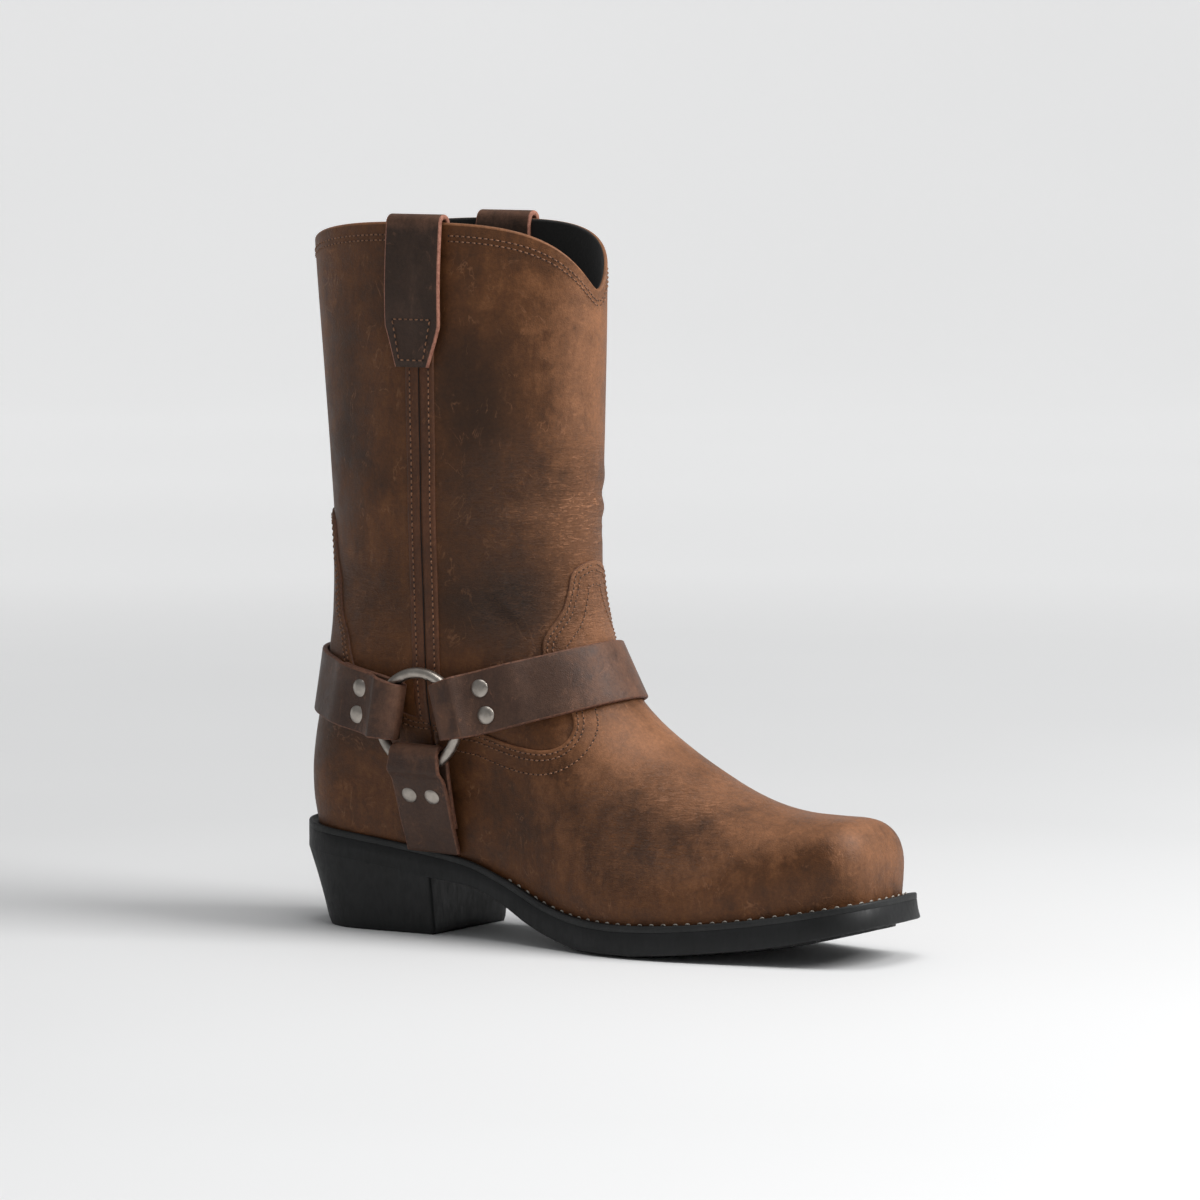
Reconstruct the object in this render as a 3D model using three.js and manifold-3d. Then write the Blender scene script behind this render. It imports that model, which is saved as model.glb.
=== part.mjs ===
// Harness boot for the right foot, standing on its sole.
// Millimetres, +Z up, toe towards +X, outer (lateral) side of the foot towards -Y.
// Lengths along the boot are measured from the back edge of the sole until the last lines,
// which move the whole boot so that its origin is on the floor under the middle of its box.
import * as THREE from 'three';
import Module from 'manifold-3d';
import { mergeVertices } from 'three/addons/utils/BufferGeometryUtils.js';

const wasm = await Module();
wasm.setup();

// Sole and heel
const soleLength = 311;
const heelWidth = 72;
const waistWidth = 64;
const ballWidth = 100;
const toeWidth = 64;
const heelSeatHeight = 49;
const ballSeatHeight = 15;
const toeSpring = 18;
const soleThickness = 12.5;
const weltThickness = 3;
const archHeight = 27;
const heelBreast = 82;
const heelUndercut = 11;
const heelBaseWidth = 63;
const toeCornerReach = 24;
const treadGrooveWidth = 2.4;
const treadGrooveDepth = 1.6;
const treadPitch = 11;
const treadBorder = 9;
const treadHeight = 2.8;
const treadStart = 0.47;
const treadRiseLow = 6;
const treadRiseHigh = 30;

// Upper
const seatLedge = 3.2;
const weltLedge = 5;
const toeLedge = 7;
const upperWall = 2.4;
const overlayThickness = 1.2;
const featherBulge = 2.5;
const bulgeHeight = 18;
const toeTop = 63.2;
const ankleFront = 149.6;
const ankleHeight = 176;
const shaftLean = 4.4;
const heelHollow = 10.5;
const ankleWidth = 83;
const collarWidth = 75;
const collarHeight = 327;
const frontDip = 37;
const backDip = 17;
const frontDipTurn = 2.95;
const backDipTurn = 2.2;
const footBlendLow = 12;
const footBlendHigh = 72;
const heelRoundLow = 20;
const heelRoundHigh = 20;
const insoleThickness = 3;
const tongueTip = 177;
const counterTip = 194;
const weltUnderlap = 6;

// Side seams
const seamWidth = 15;
const seamThickness = 1;
const seamTop = 322;
const seamFoot = 104;
const seamTopAlong = 79;
const seamFootAlong = 87.5;

// Harness
const ringInnerDiameter = 38;
const ringWire = 5;
const ringAlong = 87;
const ringHeight = 101.5;
const strapWidth = 29;
const strapThickness = 2.5;
const strapTail = 34;
const instepStrapRise = 15;
const heelStrapRise = 9.5;
const sideStrapShift = 1;
const underStrapLean = 1;
const strapFoldWidth = 23;
const sideStrapSettle = 44;
const underStrapSettle = 62;
const rivetHead = 8.2;
const rivetShank = 3;
const rivetCrown = 1.2;
const rivetSpacing = 12.5;
const rivetFromRing = 34.5;

// Pull straps
const pullWidth = 30;
const pullThickness = 2.3;
const pullFoot = 262;
const pullTaper = 19;
const pullFootWidth = 18;
const pullInside = 42;

// Fits
const gap = 0.3;
const foldClearance = 0.35;
const layGap = 0.6;
const liftStep = 0.1;
const liftMost = 12;

// Fineness of the faceted solids
const columns = 36;
const denseSamples = 140;
const ridgeSamples = 240;
const layerStations = 26;
const outlineStations = 30;
const heelStations = 12;
const strapStep = 5.5;
const outerRings = 23;
const innerRings = 12;

const mix = (a, b, t) => a + (b - a) * t;
const clamp = (value, low, high) => Math.min(Math.max(value, low), high);

function smoothstep(low, high, value) {
  const t = clamp((value - low) / (high - low), 0, 1);
  return t * t * (3 - 2 * t);
}

// The smooth curve through a table: the named column at a place between the rows' own places.
function along(rows, place, column) {
  const last = rows.length - 1;
  if (place <= rows[0].at) return rows[0][column];
  if (place >= rows[last].at) return rows[last][column];
  let i = 0;
  while (rows[i + 1].at < place) i += 1;
  const slope = (j) => {
    const before = rows[Math.max(j - 1, 0)];
    const after = rows[Math.min(j + 1, last)];
    return (after[column] - before[column]) / (after.at - before.at);
  };
  const span = rows[i + 1].at - rows[i].at;
  const t = (place - rows[i].at) / span;
  return (
    rows[i][column] * (1 + 2 * t) * (1 - t) ** 2 +
    slope(i) * span * t * (1 - t) ** 2 +
    rows[i + 1][column] * t * t * (3 - 2 * t) +
    slope(i + 1) * span * t * t * (t - 1)
  );
}

// How far a rounded end has filled out at a distance from its tip: 0 at the tip, 1 past its reach.
function fullness(distance, reach, squareness) {
  const p = 1 - clamp(distance / reach, 0, 1);
  return (1 - p ** squareness) ** (1 / squareness);
}

// Plan of the sole: half widths at shares of its length, each a share of half the width it follows.
const widths = { heel: heelWidth, waist: waistWidth, ball: ballWidth, toe: toeWidth };
const soleOutline = [
  { at: 0, of: 'heel', lateral: 1, medial: 1 },
  { at: 0.12, of: 'heel', lateral: 1, medial: 1 },
  { at: 0.27, of: 'heel', lateral: 0.95, medial: 0.93 },
  { at: 0.4, of: 'waist', lateral: 1.15, medial: 0.88 },
  { at: 0.5, of: 'ball', lateral: 0.86, medial: 0.7 },
  { at: 0.6, of: 'ball', lateral: 1, medial: 0.9 },
  { at: 0.69, of: 'ball', lateral: 0.99, medial: 1 },
  { at: 0.8, of: 'ball', lateral: 0.84, medial: 0.92 },
  { at: 0.91, of: 'toe', lateral: 1.04, medial: 1.2 },
  { at: 1, of: 'toe', lateral: 0.9, medial: 1.1 },
].map((row) => ({
  at: row.at * soleLength,
  lateral: (row.lateral * widths[row.of]) / 2,
  medial: (row.medial * widths[row.of]) / 2,
}));
const heelSquareness = 2.15;
const toeSquareness = 2.8;

// Top of the welt, which the upper stands on: shares of the heel's rise and of the toe's rise.
const toeSeatHeight = toeSpring + soleThickness;
const seatLine = [
  { at: 0, heel: 1, toe: 0 },
  { at: 0.12, heel: 0.9, toe: 0 },
  { at: 0.27, heel: 0.73, toe: 0 },
  { at: 0.34, heel: 0.62, toe: 0 },
  { at: 0.41, heel: 0.4, toe: 0 },
  { at: 0.475, heel: 0.17, toe: 0 },
  { at: 0.53, heel: 0.05, toe: 0 },
  { at: 0.6, heel: 0, toe: 0 },
  { at: 0.68, heel: 0, toe: 0.04 },
  { at: 0.78, heel: 0, toe: 0.22 },
  { at: 0.88, heel: 0, toe: 0.52 },
  { at: 1, heel: 0, toe: 1 },
];
function seat(x) {
  const share = x / soleLength;
  const heelRise = (heelSeatHeight - ballSeatHeight) * along(seatLine, share, 'heel');
  const toeRise = (toeSeatHeight - ballSeatHeight) * along(seatLine, share, 'toe');
  return ballSeatHeight + heelRise + toeRise;
}

// Underside of the sole: shares of the arch's height and of the toe spring. The floor cuts it flat.
const undersideLine = [
  { at: 0, arch: 1.35, toe: 0 },
  { at: 0.12, arch: 1.22, toe: 0 },
  { at: 0.27, arch: 1, toe: 0 },
  { at: 0.34, arch: 0.86, toe: 0 },
  { at: 0.4, arch: 0.6, toe: 0 },
  { at: 0.45, arch: 0.32, toe: 0 },
  { at: 0.5, arch: 0.13, toe: 0 },
  { at: 0.55, arch: 0.01, toe: 0 },
  { at: 0.6, arch: -0.02, toe: -0.02 },
  { at: 0.68, arch: 0, toe: 0.04 },
  { at: 0.78, arch: 0, toe: 0.21 },
  { at: 0.88, arch: 0, toe: 0.46 },
  { at: 1, arch: 0, toe: 0.96 },
];
function underside(x) {
  const share = x / soleLength;
  const arch = archHeight * along(undersideLine, share, 'arch');
  return Math.max(0, arch + toeSpring * along(undersideLine, share, 'toe'));
}

// Half width of the sole's plan, taken in by an inset that may change along the length.
function ledge(x) {
  const fore = mix(weltLedge, toeLedge, smoothstep(0.8 * soleLength, soleLength, x));
  return mix(seatLedge, fore, smoothstep(0.25 * soleLength, 0.45 * soleLength, x));
}
const columnOf = (side) => (side < 0 ? 'lateral' : 'medial');
function planHalf(x, side, inset, heelInset, toeInset) {
  const heelReach = heelWidth / 2 - heelInset;
  const toeReach = toeCornerReach - toeInset;
  return (
    (along(soleOutline, x, columnOf(side)) - inset) *
    fullness(x - heelInset, heelReach, heelSquareness) *
    fullness(soleLength - toeInset - x, toeReach, toeSquareness)
  );
}

// Back of the upper: how far it has moved forward, as a share of the heel's hollow, by height.
const backLine = [
  { at: 0, hollow: 0.12 },
  { at: 0.04, hollow: 0 },
  { at: 0.09, hollow: 0 },
  { at: 0.15, hollow: 0.2 },
  { at: 0.22, hollow: 0.56 },
  { at: 0.29, hollow: 0.76 },
  { at: 0.36, hollow: 0.9 },
  { at: 0.47, hollow: 0.88 },
  { at: 0.61, hollow: 0.58 },
  { at: 0.76, hollow: 0.18 },
  { at: 0.9, hollow: -0.2 },
  { at: 1, hollow: -0.42 },
];
function upperBack(z) {
  const share = (z - heelSeatHeight) / (collarHeight - heelSeatHeight);
  return seatLedge + 1 + heelHollow * along(backLine, share, 'hollow');
}

// Ridge of the upper, from the toe back over the instep and up the front of the shaft.
// Foot rows are shares of the way from ankle to toe tip and from toe top to ankle height;
// shaft rows are shares of the lean and of the shaft's height. Round is the reach of the rounded
// ridge as a share of half the shaft's depth, and square is the exponent of its section.
const upperFront = soleLength - toeLedge - 0.5;
const footRidge = [
  { ahead: 1.3, rise: 0, round: 0.36, square: 2.9 },
  { ahead: 1.05, rise: 0, round: 0.36, square: 2.9 },
  { ahead: 0.933, rise: 0, round: 0.38, square: 2.8 },
  { ahead: 0.827, rise: 0, round: 0.42, square: 2.6 },
  { ahead: 0.713, rise: 0.008, round: 0.5, square: 2.3 },
  { ahead: 0.607, rise: 0.037, round: 0.57, square: 2.1 },
  { ahead: 0.5, rise: 0.09, round: 0.62, square: 2 },
  { ahead: 0.393, rise: 0.164, round: 0.67, square: 2 },
  { ahead: 0.29, rise: 0.25, round: 0.71, square: 2 },
  { ahead: 0.19, rise: 0.35, round: 0.76, square: 2 },
  { ahead: 0.11, rise: 0.46, round: 0.82, square: 2 },
  { ahead: 0.055, rise: 0.59, round: 0.88, square: 2.05 },
  { ahead: 0.02, rise: 0.73, round: 0.94, square: 2.1 },
  { ahead: 0.004, rise: 0.857, round: 0.98, square: 2.1 },
];
const shaftRidge = [
  { lean: 0, rise: 0, round: 1, square: 2.1 },
  { lean: 0.08, rise: 0.126, round: 1, square: 2.1 },
  { lean: 0.3, rise: 0.29, round: 1, square: 2.1 },
  { lean: 0.58, rise: 0.49, round: 1, square: 2.1 },
  { lean: 0.85, rise: 0.72, round: 1, square: 2.1 },
  { lean: 1, rise: 1, round: 1, square: 2.1 },
  { lean: 1.05, rise: 1.15, round: 1, square: 2.1 },
];
const ridgeRows = [
  ...footRidge.map((row) => ({
    x: mix(ankleFront, upperFront, row.ahead),
    z: mix(toeTop, ankleHeight, row.rise),
    round: row.round,
    square: row.square,
  })),
  ...shaftRidge.map((row) => ({
    x: ankleFront + shaftLean * row.lean,
    z: mix(ankleHeight, collarHeight, row.rise),
    round: row.round,
    square: row.square,
  })),
].map((row, index) => ({ at: index, ...row }));
const ridge = Array.from({ length: ridgeSamples + 1 }, (_, i) => {
  const place = (i / ridgeSamples) * (ridgeRows.length - 1);
  const read = (column) => along(ridgeRows, place, column);
  return { x: read('x'), z: read('z'), round: read('round'), square: read('square') };
});

// Nearest place on the ridge: signed distance, positive inside, with the section's shape there.
function nearestRidge(x, z) {
  let best = { distance: Infinity };
  for (let i = 0; i < ridgeSamples; i += 1) {
    const a = ridge[i];
    const b = ridge[i + 1];
    const dx = b.x - a.x;
    const dz = b.z - a.z;
    const t = clamp(((x - a.x) * dx + (z - a.z) * dz) / (dx * dx + dz * dz), 0, 1);
    const distance = Math.hypot(x - a.x - t * dx, z - a.z - t * dz);
    if (distance < Math.abs(best.distance)) {
      const inside = dx * (z - a.z) - dz * (x - a.x) > 0 ? 1 : -1;
      best = {
        distance: inside * distance,
        round: mix(a.round, b.round, t),
        square: mix(a.square, b.square, t),
      };
    }
  }
  return best;
}

const ankleDepth = (ankleFront - upperBack(ankleHeight)) / 2;
function halfDepth(z) {
  if (z <= ankleHeight) return ankleDepth;
  const rise = (z - ankleHeight) / (collarHeight - ankleHeight);
  const rows = shaftRidge.map((row) => ({ at: row.rise, lean: row.lean }));
  return (ankleFront + shaftLean * along(rows, rise, 'lean') - upperBack(z)) / 2;
}

// Half width of the upper before its ends are rounded: the foot's plan below, the shaft's above.
function sideReach(x, z, side) {
  const lift = clamp((z - seat(x)) / bulgeHeight, 0, 1);
  const bulge = featherBulge * Math.sin((lift * Math.PI) / 2);
  const foot = along(soleOutline, x, columnOf(side)) - ledge(x) + bulge;
  const shaft = mix(ankleWidth, collarWidth, smoothstep(ankleHeight, collarHeight, z)) / 2;
  const rise = smoothstep(heelSeatHeight + footBlendLow, heelSeatHeight + footBlendHigh, z);
  return mix(foot, shaft, rise);
}

// How much of the half width is rounded away at a place of the side view: 1 or more is outside.
const toeReach = 19;
function rounding(x, z, grow) {
  const top = nearestRidge(x, z);
  const topReach = top.round * halfDepth(z) + grow;
  const rise = smoothstep(heelSeatHeight + heelRoundLow, ankleHeight - heelRoundHigh, z);
  const backReach = mix(heelWidth / 2 - seatLedge, halfDepth(z), rise) + grow;
  const shares = [
    1 - (top.distance + grow) / topReach,
    1 - (upperFront - x + grow) / (toeReach + grow),
    1 - (x - upperBack(z) + grow) / backReach,
  ];
  const sum = shares.reduce((total, p) => total + Math.max(p, 0) ** top.square, 0);
  return { sum, square: top.square };
}

// Half width of the upper's outside at a place of the side view, grown outwards or inwards.
function upperHalf(x, z, side, grow) {
  const { sum, square } = rounding(x, z, grow);
  if (sum >= 1) return 0;
  return (sideReach(x, z, side) + grow) * (1 - sum) ** (1 / square);
}

// The same surface as a level function of space, below 0 inside, for normals and clearances.
function level(point, grow) {
  const side = point.y < 0 ? -1 : 1;
  const { sum, square } = rounding(point.x, point.z, grow);
  return (Math.abs(point.y) / (sideReach(point.x, point.z, side) + grow)) ** square + sum - 1;
}
function outward(point, grow) {
  const step = 0.25;
  const change = (x, y, z) =>
    level(point.clone().add(new THREE.Vector3(x, y, z)), grow) -
    level(point.clone().sub(new THREE.Vector3(x, y, z)), grow);
  return new THREE.Vector3(change(step, 0, 0), change(0, step, 0), change(0, 0, step)).normalize();
}

// Height of the collar line, which dips to a point at the front and at the back.
const shaftMiddle = (ankleFront + shaftLean + upperBack(collarHeight)) / 2;
function collarLine(x) {
  const share = clamp((x - shaftMiddle) / halfDepth(collarHeight), -1, 1);
  const turn = (2 * Math.asin(Math.abs(share))) / Math.PI;
  if (share > 0) return collarHeight - frontDip * turn ** frontDipTurn;
  return collarHeight - backDip * turn ** backDipTurn;
}

// Rings of the upper, from just under the seat to the collar line.
const featherDepth = 4;
function ringHeightAt(x, share) {
  const dip = (collarLine(x) - collarHeight) * smoothstep(0.72, 1, share);
  return mix(seat(x) - featherDepth, collarHeight, share) + dip;
}

function ringEnd(share, grow, direction) {
  const outside = (x) => rounding(x, ringHeightAt(x, share), grow).sum >= 1;
  let inner = ringAlong;
  while (!outside(inner + 3 * direction)) inner += 3 * direction;
  let outer = inner + 3 * direction;
  for (let i = 0; i < 40; i += 1) {
    const middle = (inner + outer) / 2;
    if (outside(middle)) outer = middle;
    else inner = middle;
  }
  return inner;
}

// Places along a line of points, spaced by length and by how much the line turns.
function spread(points, count, turnWeight) {
  const reach = [0];
  for (let i = 1; i < points.length; i += 1) {
    let turn = 0;
    if (i < points.length - 1) {
      const before = points[i].clone().sub(points[i - 1]);
      const after = points[i + 1].clone().sub(points[i]);
      turn = before.lengthSq() && after.lengthSq() ? before.angleTo(after) : 0;
    }
    reach.push(reach[i - 1] + points[i].distanceTo(points[i - 1]) + turnWeight * turn);
  }
  return Array.from({ length: count + 1 }, (_, k) => {
    const goal = (reach[reach.length - 1] * k) / count;
    let i = 1;
    while (i < points.length - 1 && reach[i] < goal) i += 1;
    const t = clamp((goal - reach[i - 1]) / (reach[i] - reach[i - 1]), 0, 1);
    return points[i - 1].clone().lerp(points[i], t);
  });
}

// One ring: from the back along the lateral side to the front, and back along the medial side.
function ring(share, grow) {
  const back = ringEnd(share, grow, -1);
  const front = ringEnd(share, grow, 1);
  const half = (side) => {
    const points = Array.from({ length: denseSamples + 1 }, (_, i) => {
      const t = i / denseSamples;
      const x = mix(back, front, t ** 4 / (t ** 4 + (1 - t) ** 4));
      const z = ringHeightAt(x, share);
      const closed = i === 0 || i === denseSamples;
      return new THREE.Vector3(x, closed ? 0 : side * upperHalf(x, z, side, grow), z);
    });
    return spread(points, columns / 2, 20);
  };
  const lateral = half(-1);
  const medial = half(1).reverse();
  return [...lateral, ...medial.slice(1, -1)];
}

// A solid from its corners and triangles, turned so that its faces point out.
function solid(positions, index) {
  const vertProperties = new Float32Array(positions);
  const triVerts = new Uint32Array(index);
  const made = new wasm.Manifold(new wasm.Mesh({ numProp: 3, vertProperties, triVerts }));
  if (made.volume() > 0) return made;
  for (let i = 0; i < triVerts.length; i += 3) {
    [triVerts[i + 1], triVerts[i + 2]] = [triVerts[i + 2], triVerts[i + 1]];
  }
  return new wasm.Manifold(new wasm.Mesh({ numProp: 3, vertProperties, triVerts }));
}

function solidOf(geometry) {
  const bare = geometry.clone();
  bare.deleteAttribute('normal');
  bare.deleteAttribute('uv');
  const merged = mergeVertices(bare, 1e-4);
  return solid(merged.attributes.position.array, merged.index.array);
}

// A layer of the sole: as wide as need be, between two curves of the side view.
function layer(low, high) {
  const half = ballWidth;
  const positions = [];
  const index = [];
  for (let i = 0; i <= layerStations; i += 1) {
    const x = mix(-0.05, 1.05, i / layerStations) * soleLength;
    for (const [y, z] of [[-half, low(x)], [half, low(x)], [half, high(x)], [-half, high(x)]]) {
      positions.push(x, y, z);
    }
  }
  for (let i = 0; i < layerStations; i += 1) {
    for (let c = 0; c < 4; c += 1) {
      const a = 4 * i + c;
      const b = 4 * i + ((c + 1) % 4);
      index.push(a, a + 4, b + 4, a, b + 4, b);
    }
  }
  const end = 4 * layerStations;
  index.push(0, 1, 2, 0, 2, 3, end, end + 2, end + 1, end, end + 3, end + 2);
  return solid(positions, index);
}

// An upright cutter of the sole's plan, taken in by an inset and by more at its ends.
function planCutter(inset, heelInset, toeInset) {
  const stations = Array.from({ length: outlineStations + 1 }, (_, i) => {
    const t = (1 - Math.cos((i / outlineStations) * Math.PI)) / 2;
    return mix(heelInset, soleLength - toeInset, t);
  });
  const half = (side) =>
    stations.map((x) => new THREE.Vector2(x, side * planHalf(x, side, inset(x), heelInset, toeInset)));
  const lateral = half(-1);
  const medial = half(1).slice(1, -1).reverse();
  const shape = new THREE.Shape([...lateral, ...medial]);
  const tall = collarHeight;
  const geometry = new THREE.ExtrudeGeometry(shape, { depth: tall, bevelEnabled: false });
  geometry.translate(0, 0, -tall / 2);
  return solidOf(geometry);
}

// A strap: a band of leather through stations that give its middle, its width and its outer side.
function band(stations, thickness) {
  const positions = [];
  const index = [];
  stations.forEach(({ middle, across, out, half }) => {
    for (const [w, t] of [[-1, -1], [1, -1], [1, 1], [-1, 1]]) {
      const corner = middle.clone();
      corner.addScaledVector(across, w * half).addScaledVector(out, (t * thickness) / 2);
      positions.push(corner.x, corner.y, corner.z);
    }
  });
  const last = 4 * (stations.length - 1);
  for (let base = 0; base < last; base += 4) {
    for (let c = 0; c < 4; c += 1) {
      const a = base + c;
      const b = base + ((c + 1) % 4);
      index.push(a, b, b + 4, a, b + 4, a + 4);
    }
  }
  index.push(0, 2, 1, 0, 3, 2, last, last + 1, last + 2, last, last + 2, last + 3);
  return solid(positions, index);
}

// A line over the boot from a place of the side view, in a direction, until it leaves the form.
function surfaceLine(x, z, angle, side, length, grow) {
  const dx = Math.cos(angle);
  const dz = Math.sin(angle);
  let far = length;
  if (rounding(x + far * dx, z + far * dz, grow).sum >= 1) {
    let near = 0;
    for (let i = 0; i < 40; i += 1) {
      const middle = (near + far) / 2;
      if (rounding(x + middle * dx, z + middle * dz, grow).sum >= 1) far = middle;
      else near = middle;
    }
  }
  return Array.from({ length: denseSamples + 1 }, (_, i) => {
    const reach = far * (1 - (1 - i / denseSamples) ** 3);
    const px = x + reach * dx;
    const pz = z + reach * dz;
    return new THREE.Vector3(px, side * upperHalf(px, pz, side, grow), pz);
  });
}

// A point and direction at a length along a line of points.
function walk(points, length) {
  let left = length;
  let i = 1;
  while (i < points.length - 1 && left > points[i].distanceTo(points[i - 1])) {
    left -= points[i].distanceTo(points[i - 1]);
    i += 1;
  }
  const heading = points[i].clone().sub(points[i - 1]).normalize();
  return { point: points[i - 1].clone().addScaledVector(heading, left), heading };
}
const lengthOf = (points) =>
  points.reduce((total, p, i) => (i ? total + p.distanceTo(points[i - 1]) : 0), 0);

// Lift that a straight strap needs so that its whole width lies a depth or more above the boot.
function clearLift(middle, across, normal, half, depth) {
  let lift = 0;
  const touches = () =>
    [-1, -0.5, 0, 0.5, 1].some((w) => {
      const probe = middle.clone().addScaledVector(across, w * half).addScaledVector(normal, lift - depth);
      return level(probe, overlayThickness) < 0;
    });
  while (touches() && lift < liftMost) lift += liftStep;
  return lift;
}

// The ring of one side hangs upright, just far enough out for a strap to pass behind its wire:
// its centre and the direction that it faces.
const wireCircle = (ringInnerDiameter + ringWire) / 2;
const ringLift = layGap + strapThickness + foldClearance + ringWire / 2;
function ringPlace(side) {
  const half = upperHalf(ringAlong, ringHeight, side, overlayThickness);
  const foot = new THREE.Vector3(ringAlong, side * half, ringHeight);
  const out = outward(foot, overlayThickness).setZ(0).normalize();
  const along = new THREE.Vector3(0, 0, 1).cross(out);
  const rim = Array.from({ length: 16 }, (_, i) => {
    const angle = (i * Math.PI) / 8;
    const reach = along.clone().multiplyScalar(Math.cos(angle)).setZ(Math.sin(angle));
    return foot.clone().addScaledVector(reach, wireCircle + ringWire / 2);
  });
  const flat = new THREE.Vector3();
  const standOff = Math.max(...rim.map((point) => clearLift(point, flat, out, 0, 0)));
  return { centre: foot.clone().addScaledVector(out, standOff + ringLift), out };
}
const foldRadius = ringWire / 2 + foldClearance + strapThickness / 2;
function foldCentre(shift) {
  const chord = Math.sqrt((ringInnerDiameter / 2) ** 2 - (strapFoldWidth / 2 + Math.abs(shift)) ** 2);
  return chord - foldClearance + foldRadius - strapThickness / 2;
}
function halfWidthAt(from) {
  const spread = smoothstep(wireCircle / 2, 1.3 * wireCircle, from);
  return mix(strapFoldWidth, strapWidth, spread) / 2;
}

// Heights of a strap's middle above the boot, by distance from the middle of the ring: its hidden
// tail runs out under the ring, the fold goes round the wire, and the strap comes back over both.
const layHeight = layGap + strapThickness / 2;
const doubledHeight = layHeight + strapThickness + gap;
const overRing = ringLift + foldRadius;
const rivetFlat = [-0.5, 0.5].map((way) => rivetFromRing + way * (rivetHead + 2 * gap));
function strapProfile(shift) {
  const fold = foldCentre(shift);
  const tailEnd = fold + strapTail;
  const wireEdge = wireCircle + ringWire / 2;
  const beyondRivets = (tailEnd + rivetFlat[1]) / 2;
  const tailPlaces = [tailEnd, beyondRivets, rivetFlat[1], rivetFlat[0], wireEdge - ringWire];
  const tailRows = tailPlaces.map((from) => ({ from, height: layHeight, angle: 0 }));
  const turns = [0, 30, 60, 90, 120, 150, 180].map((degrees) => {
    const angle = THREE.MathUtils.degToRad(degrees);
    const from = fold - foldRadius * Math.sin(angle);
    return { from, height: ringLift - foldRadius * Math.cos(angle), angle };
  });
  return {
    tail: [...tailRows, ...turns],
    lay: [
      { at: fold + 2, height: overRing },
      { at: wireEdge - 0.5, height: overRing },
      { at: wireEdge + 2.5, height: mix(doubledHeight, overRing, 0.55) },
      { at: rivetFlat[0], height: doubledHeight },
      { at: rivetFlat[1], height: doubledHeight },
      { at: beyondRivets, height: doubledHeight },
      { at: tailEnd + 1, height: doubledHeight },
      { at: tailEnd + 8, height: mix(layHeight, doubledHeight, 0.1) },
      { at: tailEnd + 12, height: layHeight },
    ],
    tailEnd,
  };
}

// A station of a strap at a distance from the ring's middle: flat in the ring's plane near the
// ring, lying on the boot past the place where it settles, and never closer than it may lie.
function strapStation(line, ringAt, settle, from, height, angle) {
  const place = walk(line, Math.max(from, 0));
  const out = outward(place.point, overlayThickness);
  const onBoot = place.point.clone().addScaledVector(out, height);
  const heading = walk(line, 1).heading;
  const flatHeading = heading.addScaledVector(ringAt.out, -heading.dot(ringAt.out)).normalize();
  const flatAcross = new THREE.Vector3().crossVectors(ringAt.out, flatHeading).normalize();
  const offset = line[0].clone().sub(ringAt.centre).dot(flatAcross);
  const inPlane = ringAt.centre.clone().addScaledVector(ringAt.out, height - ringLift);
  inPlane.addScaledVector(flatHeading, from).addScaledVector(flatAcross, offset);
  const t = smoothstep(wireCircle, settle, from);
  const normal = ringAt.out.clone().lerp(out, t).normalize();
  const course = flatHeading.clone().lerp(place.heading, t);
  const across = new THREE.Vector3().crossVectors(normal, course).normalize();
  const lead = new THREE.Vector3().crossVectors(across, normal);
  const face = normal.clone().multiplyScalar(-Math.cos(angle)).addScaledVector(lead, -Math.sin(angle));
  const middle = inPlane.lerp(onBoot, t);
  const half = halfWidthAt(from);
  middle.addScaledVector(normal, clearLift(middle, across, normal, half, Math.min(height, doubledHeight)));
  return { middle, across, out: face, half, normal };
}

// One end of a strap, from its tail's end round the ring to the distance given, and the flat
// that its rivets sit on.
function strapEnd(line, side, shift, settle, until, spacing) {
  const ringAt = ringPlace(side);
  const profile = strapProfile(shift);
  const station = (from, height, angle) => strapStation(line, ringAt, settle, from, height, angle);
  const stations = profile.tail.map((row) => station(row.from, row.height, row.angle));
  const places = profile.lay.map((row) => row.at).filter((at) => at < until);
  const start = Math.max(...places);
  const count = Math.ceil((until - start) / spacing);
  for (let i = 1; i <= count; i += 1) places.push(mix(start, until, i / count));
  const lay = places.map((from) => station(from, along(profile.lay, from, 'height'), Math.PI));
  const [near, far] = rivetFlat.map((from) => lay[places.indexOf(from)]);
  const tangent = far.middle.clone().sub(near.middle).normalize();
  const across = near.across.clone().add(far.across).normalize();
  const normal = new THREE.Vector3().crossVectors(tangent, across).normalize();
  if (normal.dot(ringAt.out) < 0) normal.negate();
  const middle = near.middle.clone().lerp(far.middle, 0.5);
  const below = rivetFlat.map((from) => stations[profile.tail.findIndex((row) => row.from === from)]);
  const layers = doubledHeight - layHeight;
  [near, far].forEach((upper, i) => {
    Object.assign(upper, { across, out: normal });
    const under = upper.middle.clone().addScaledVector(normal, -layers);
    Object.assign(below[i], { middle: under, across, out: normal.clone().negate() });
  });
  return { stations: [...stations, ...lay], rivetSeat: { middle, across, normal } };
}

function sideLine(side, angleDegrees, shift, length, forward) {
  const rise = THREE.MathUtils.degToRad(angleDegrees);
  const angle = forward > 0 ? rise : Math.PI - rise;
  const x = ringAlong - shift * Math.sin(rise) * forward;
  const z = ringHeight + shift * Math.cos(rise);
  return surfaceLine(x, z, angle, side, length, overlayThickness);
}

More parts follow.
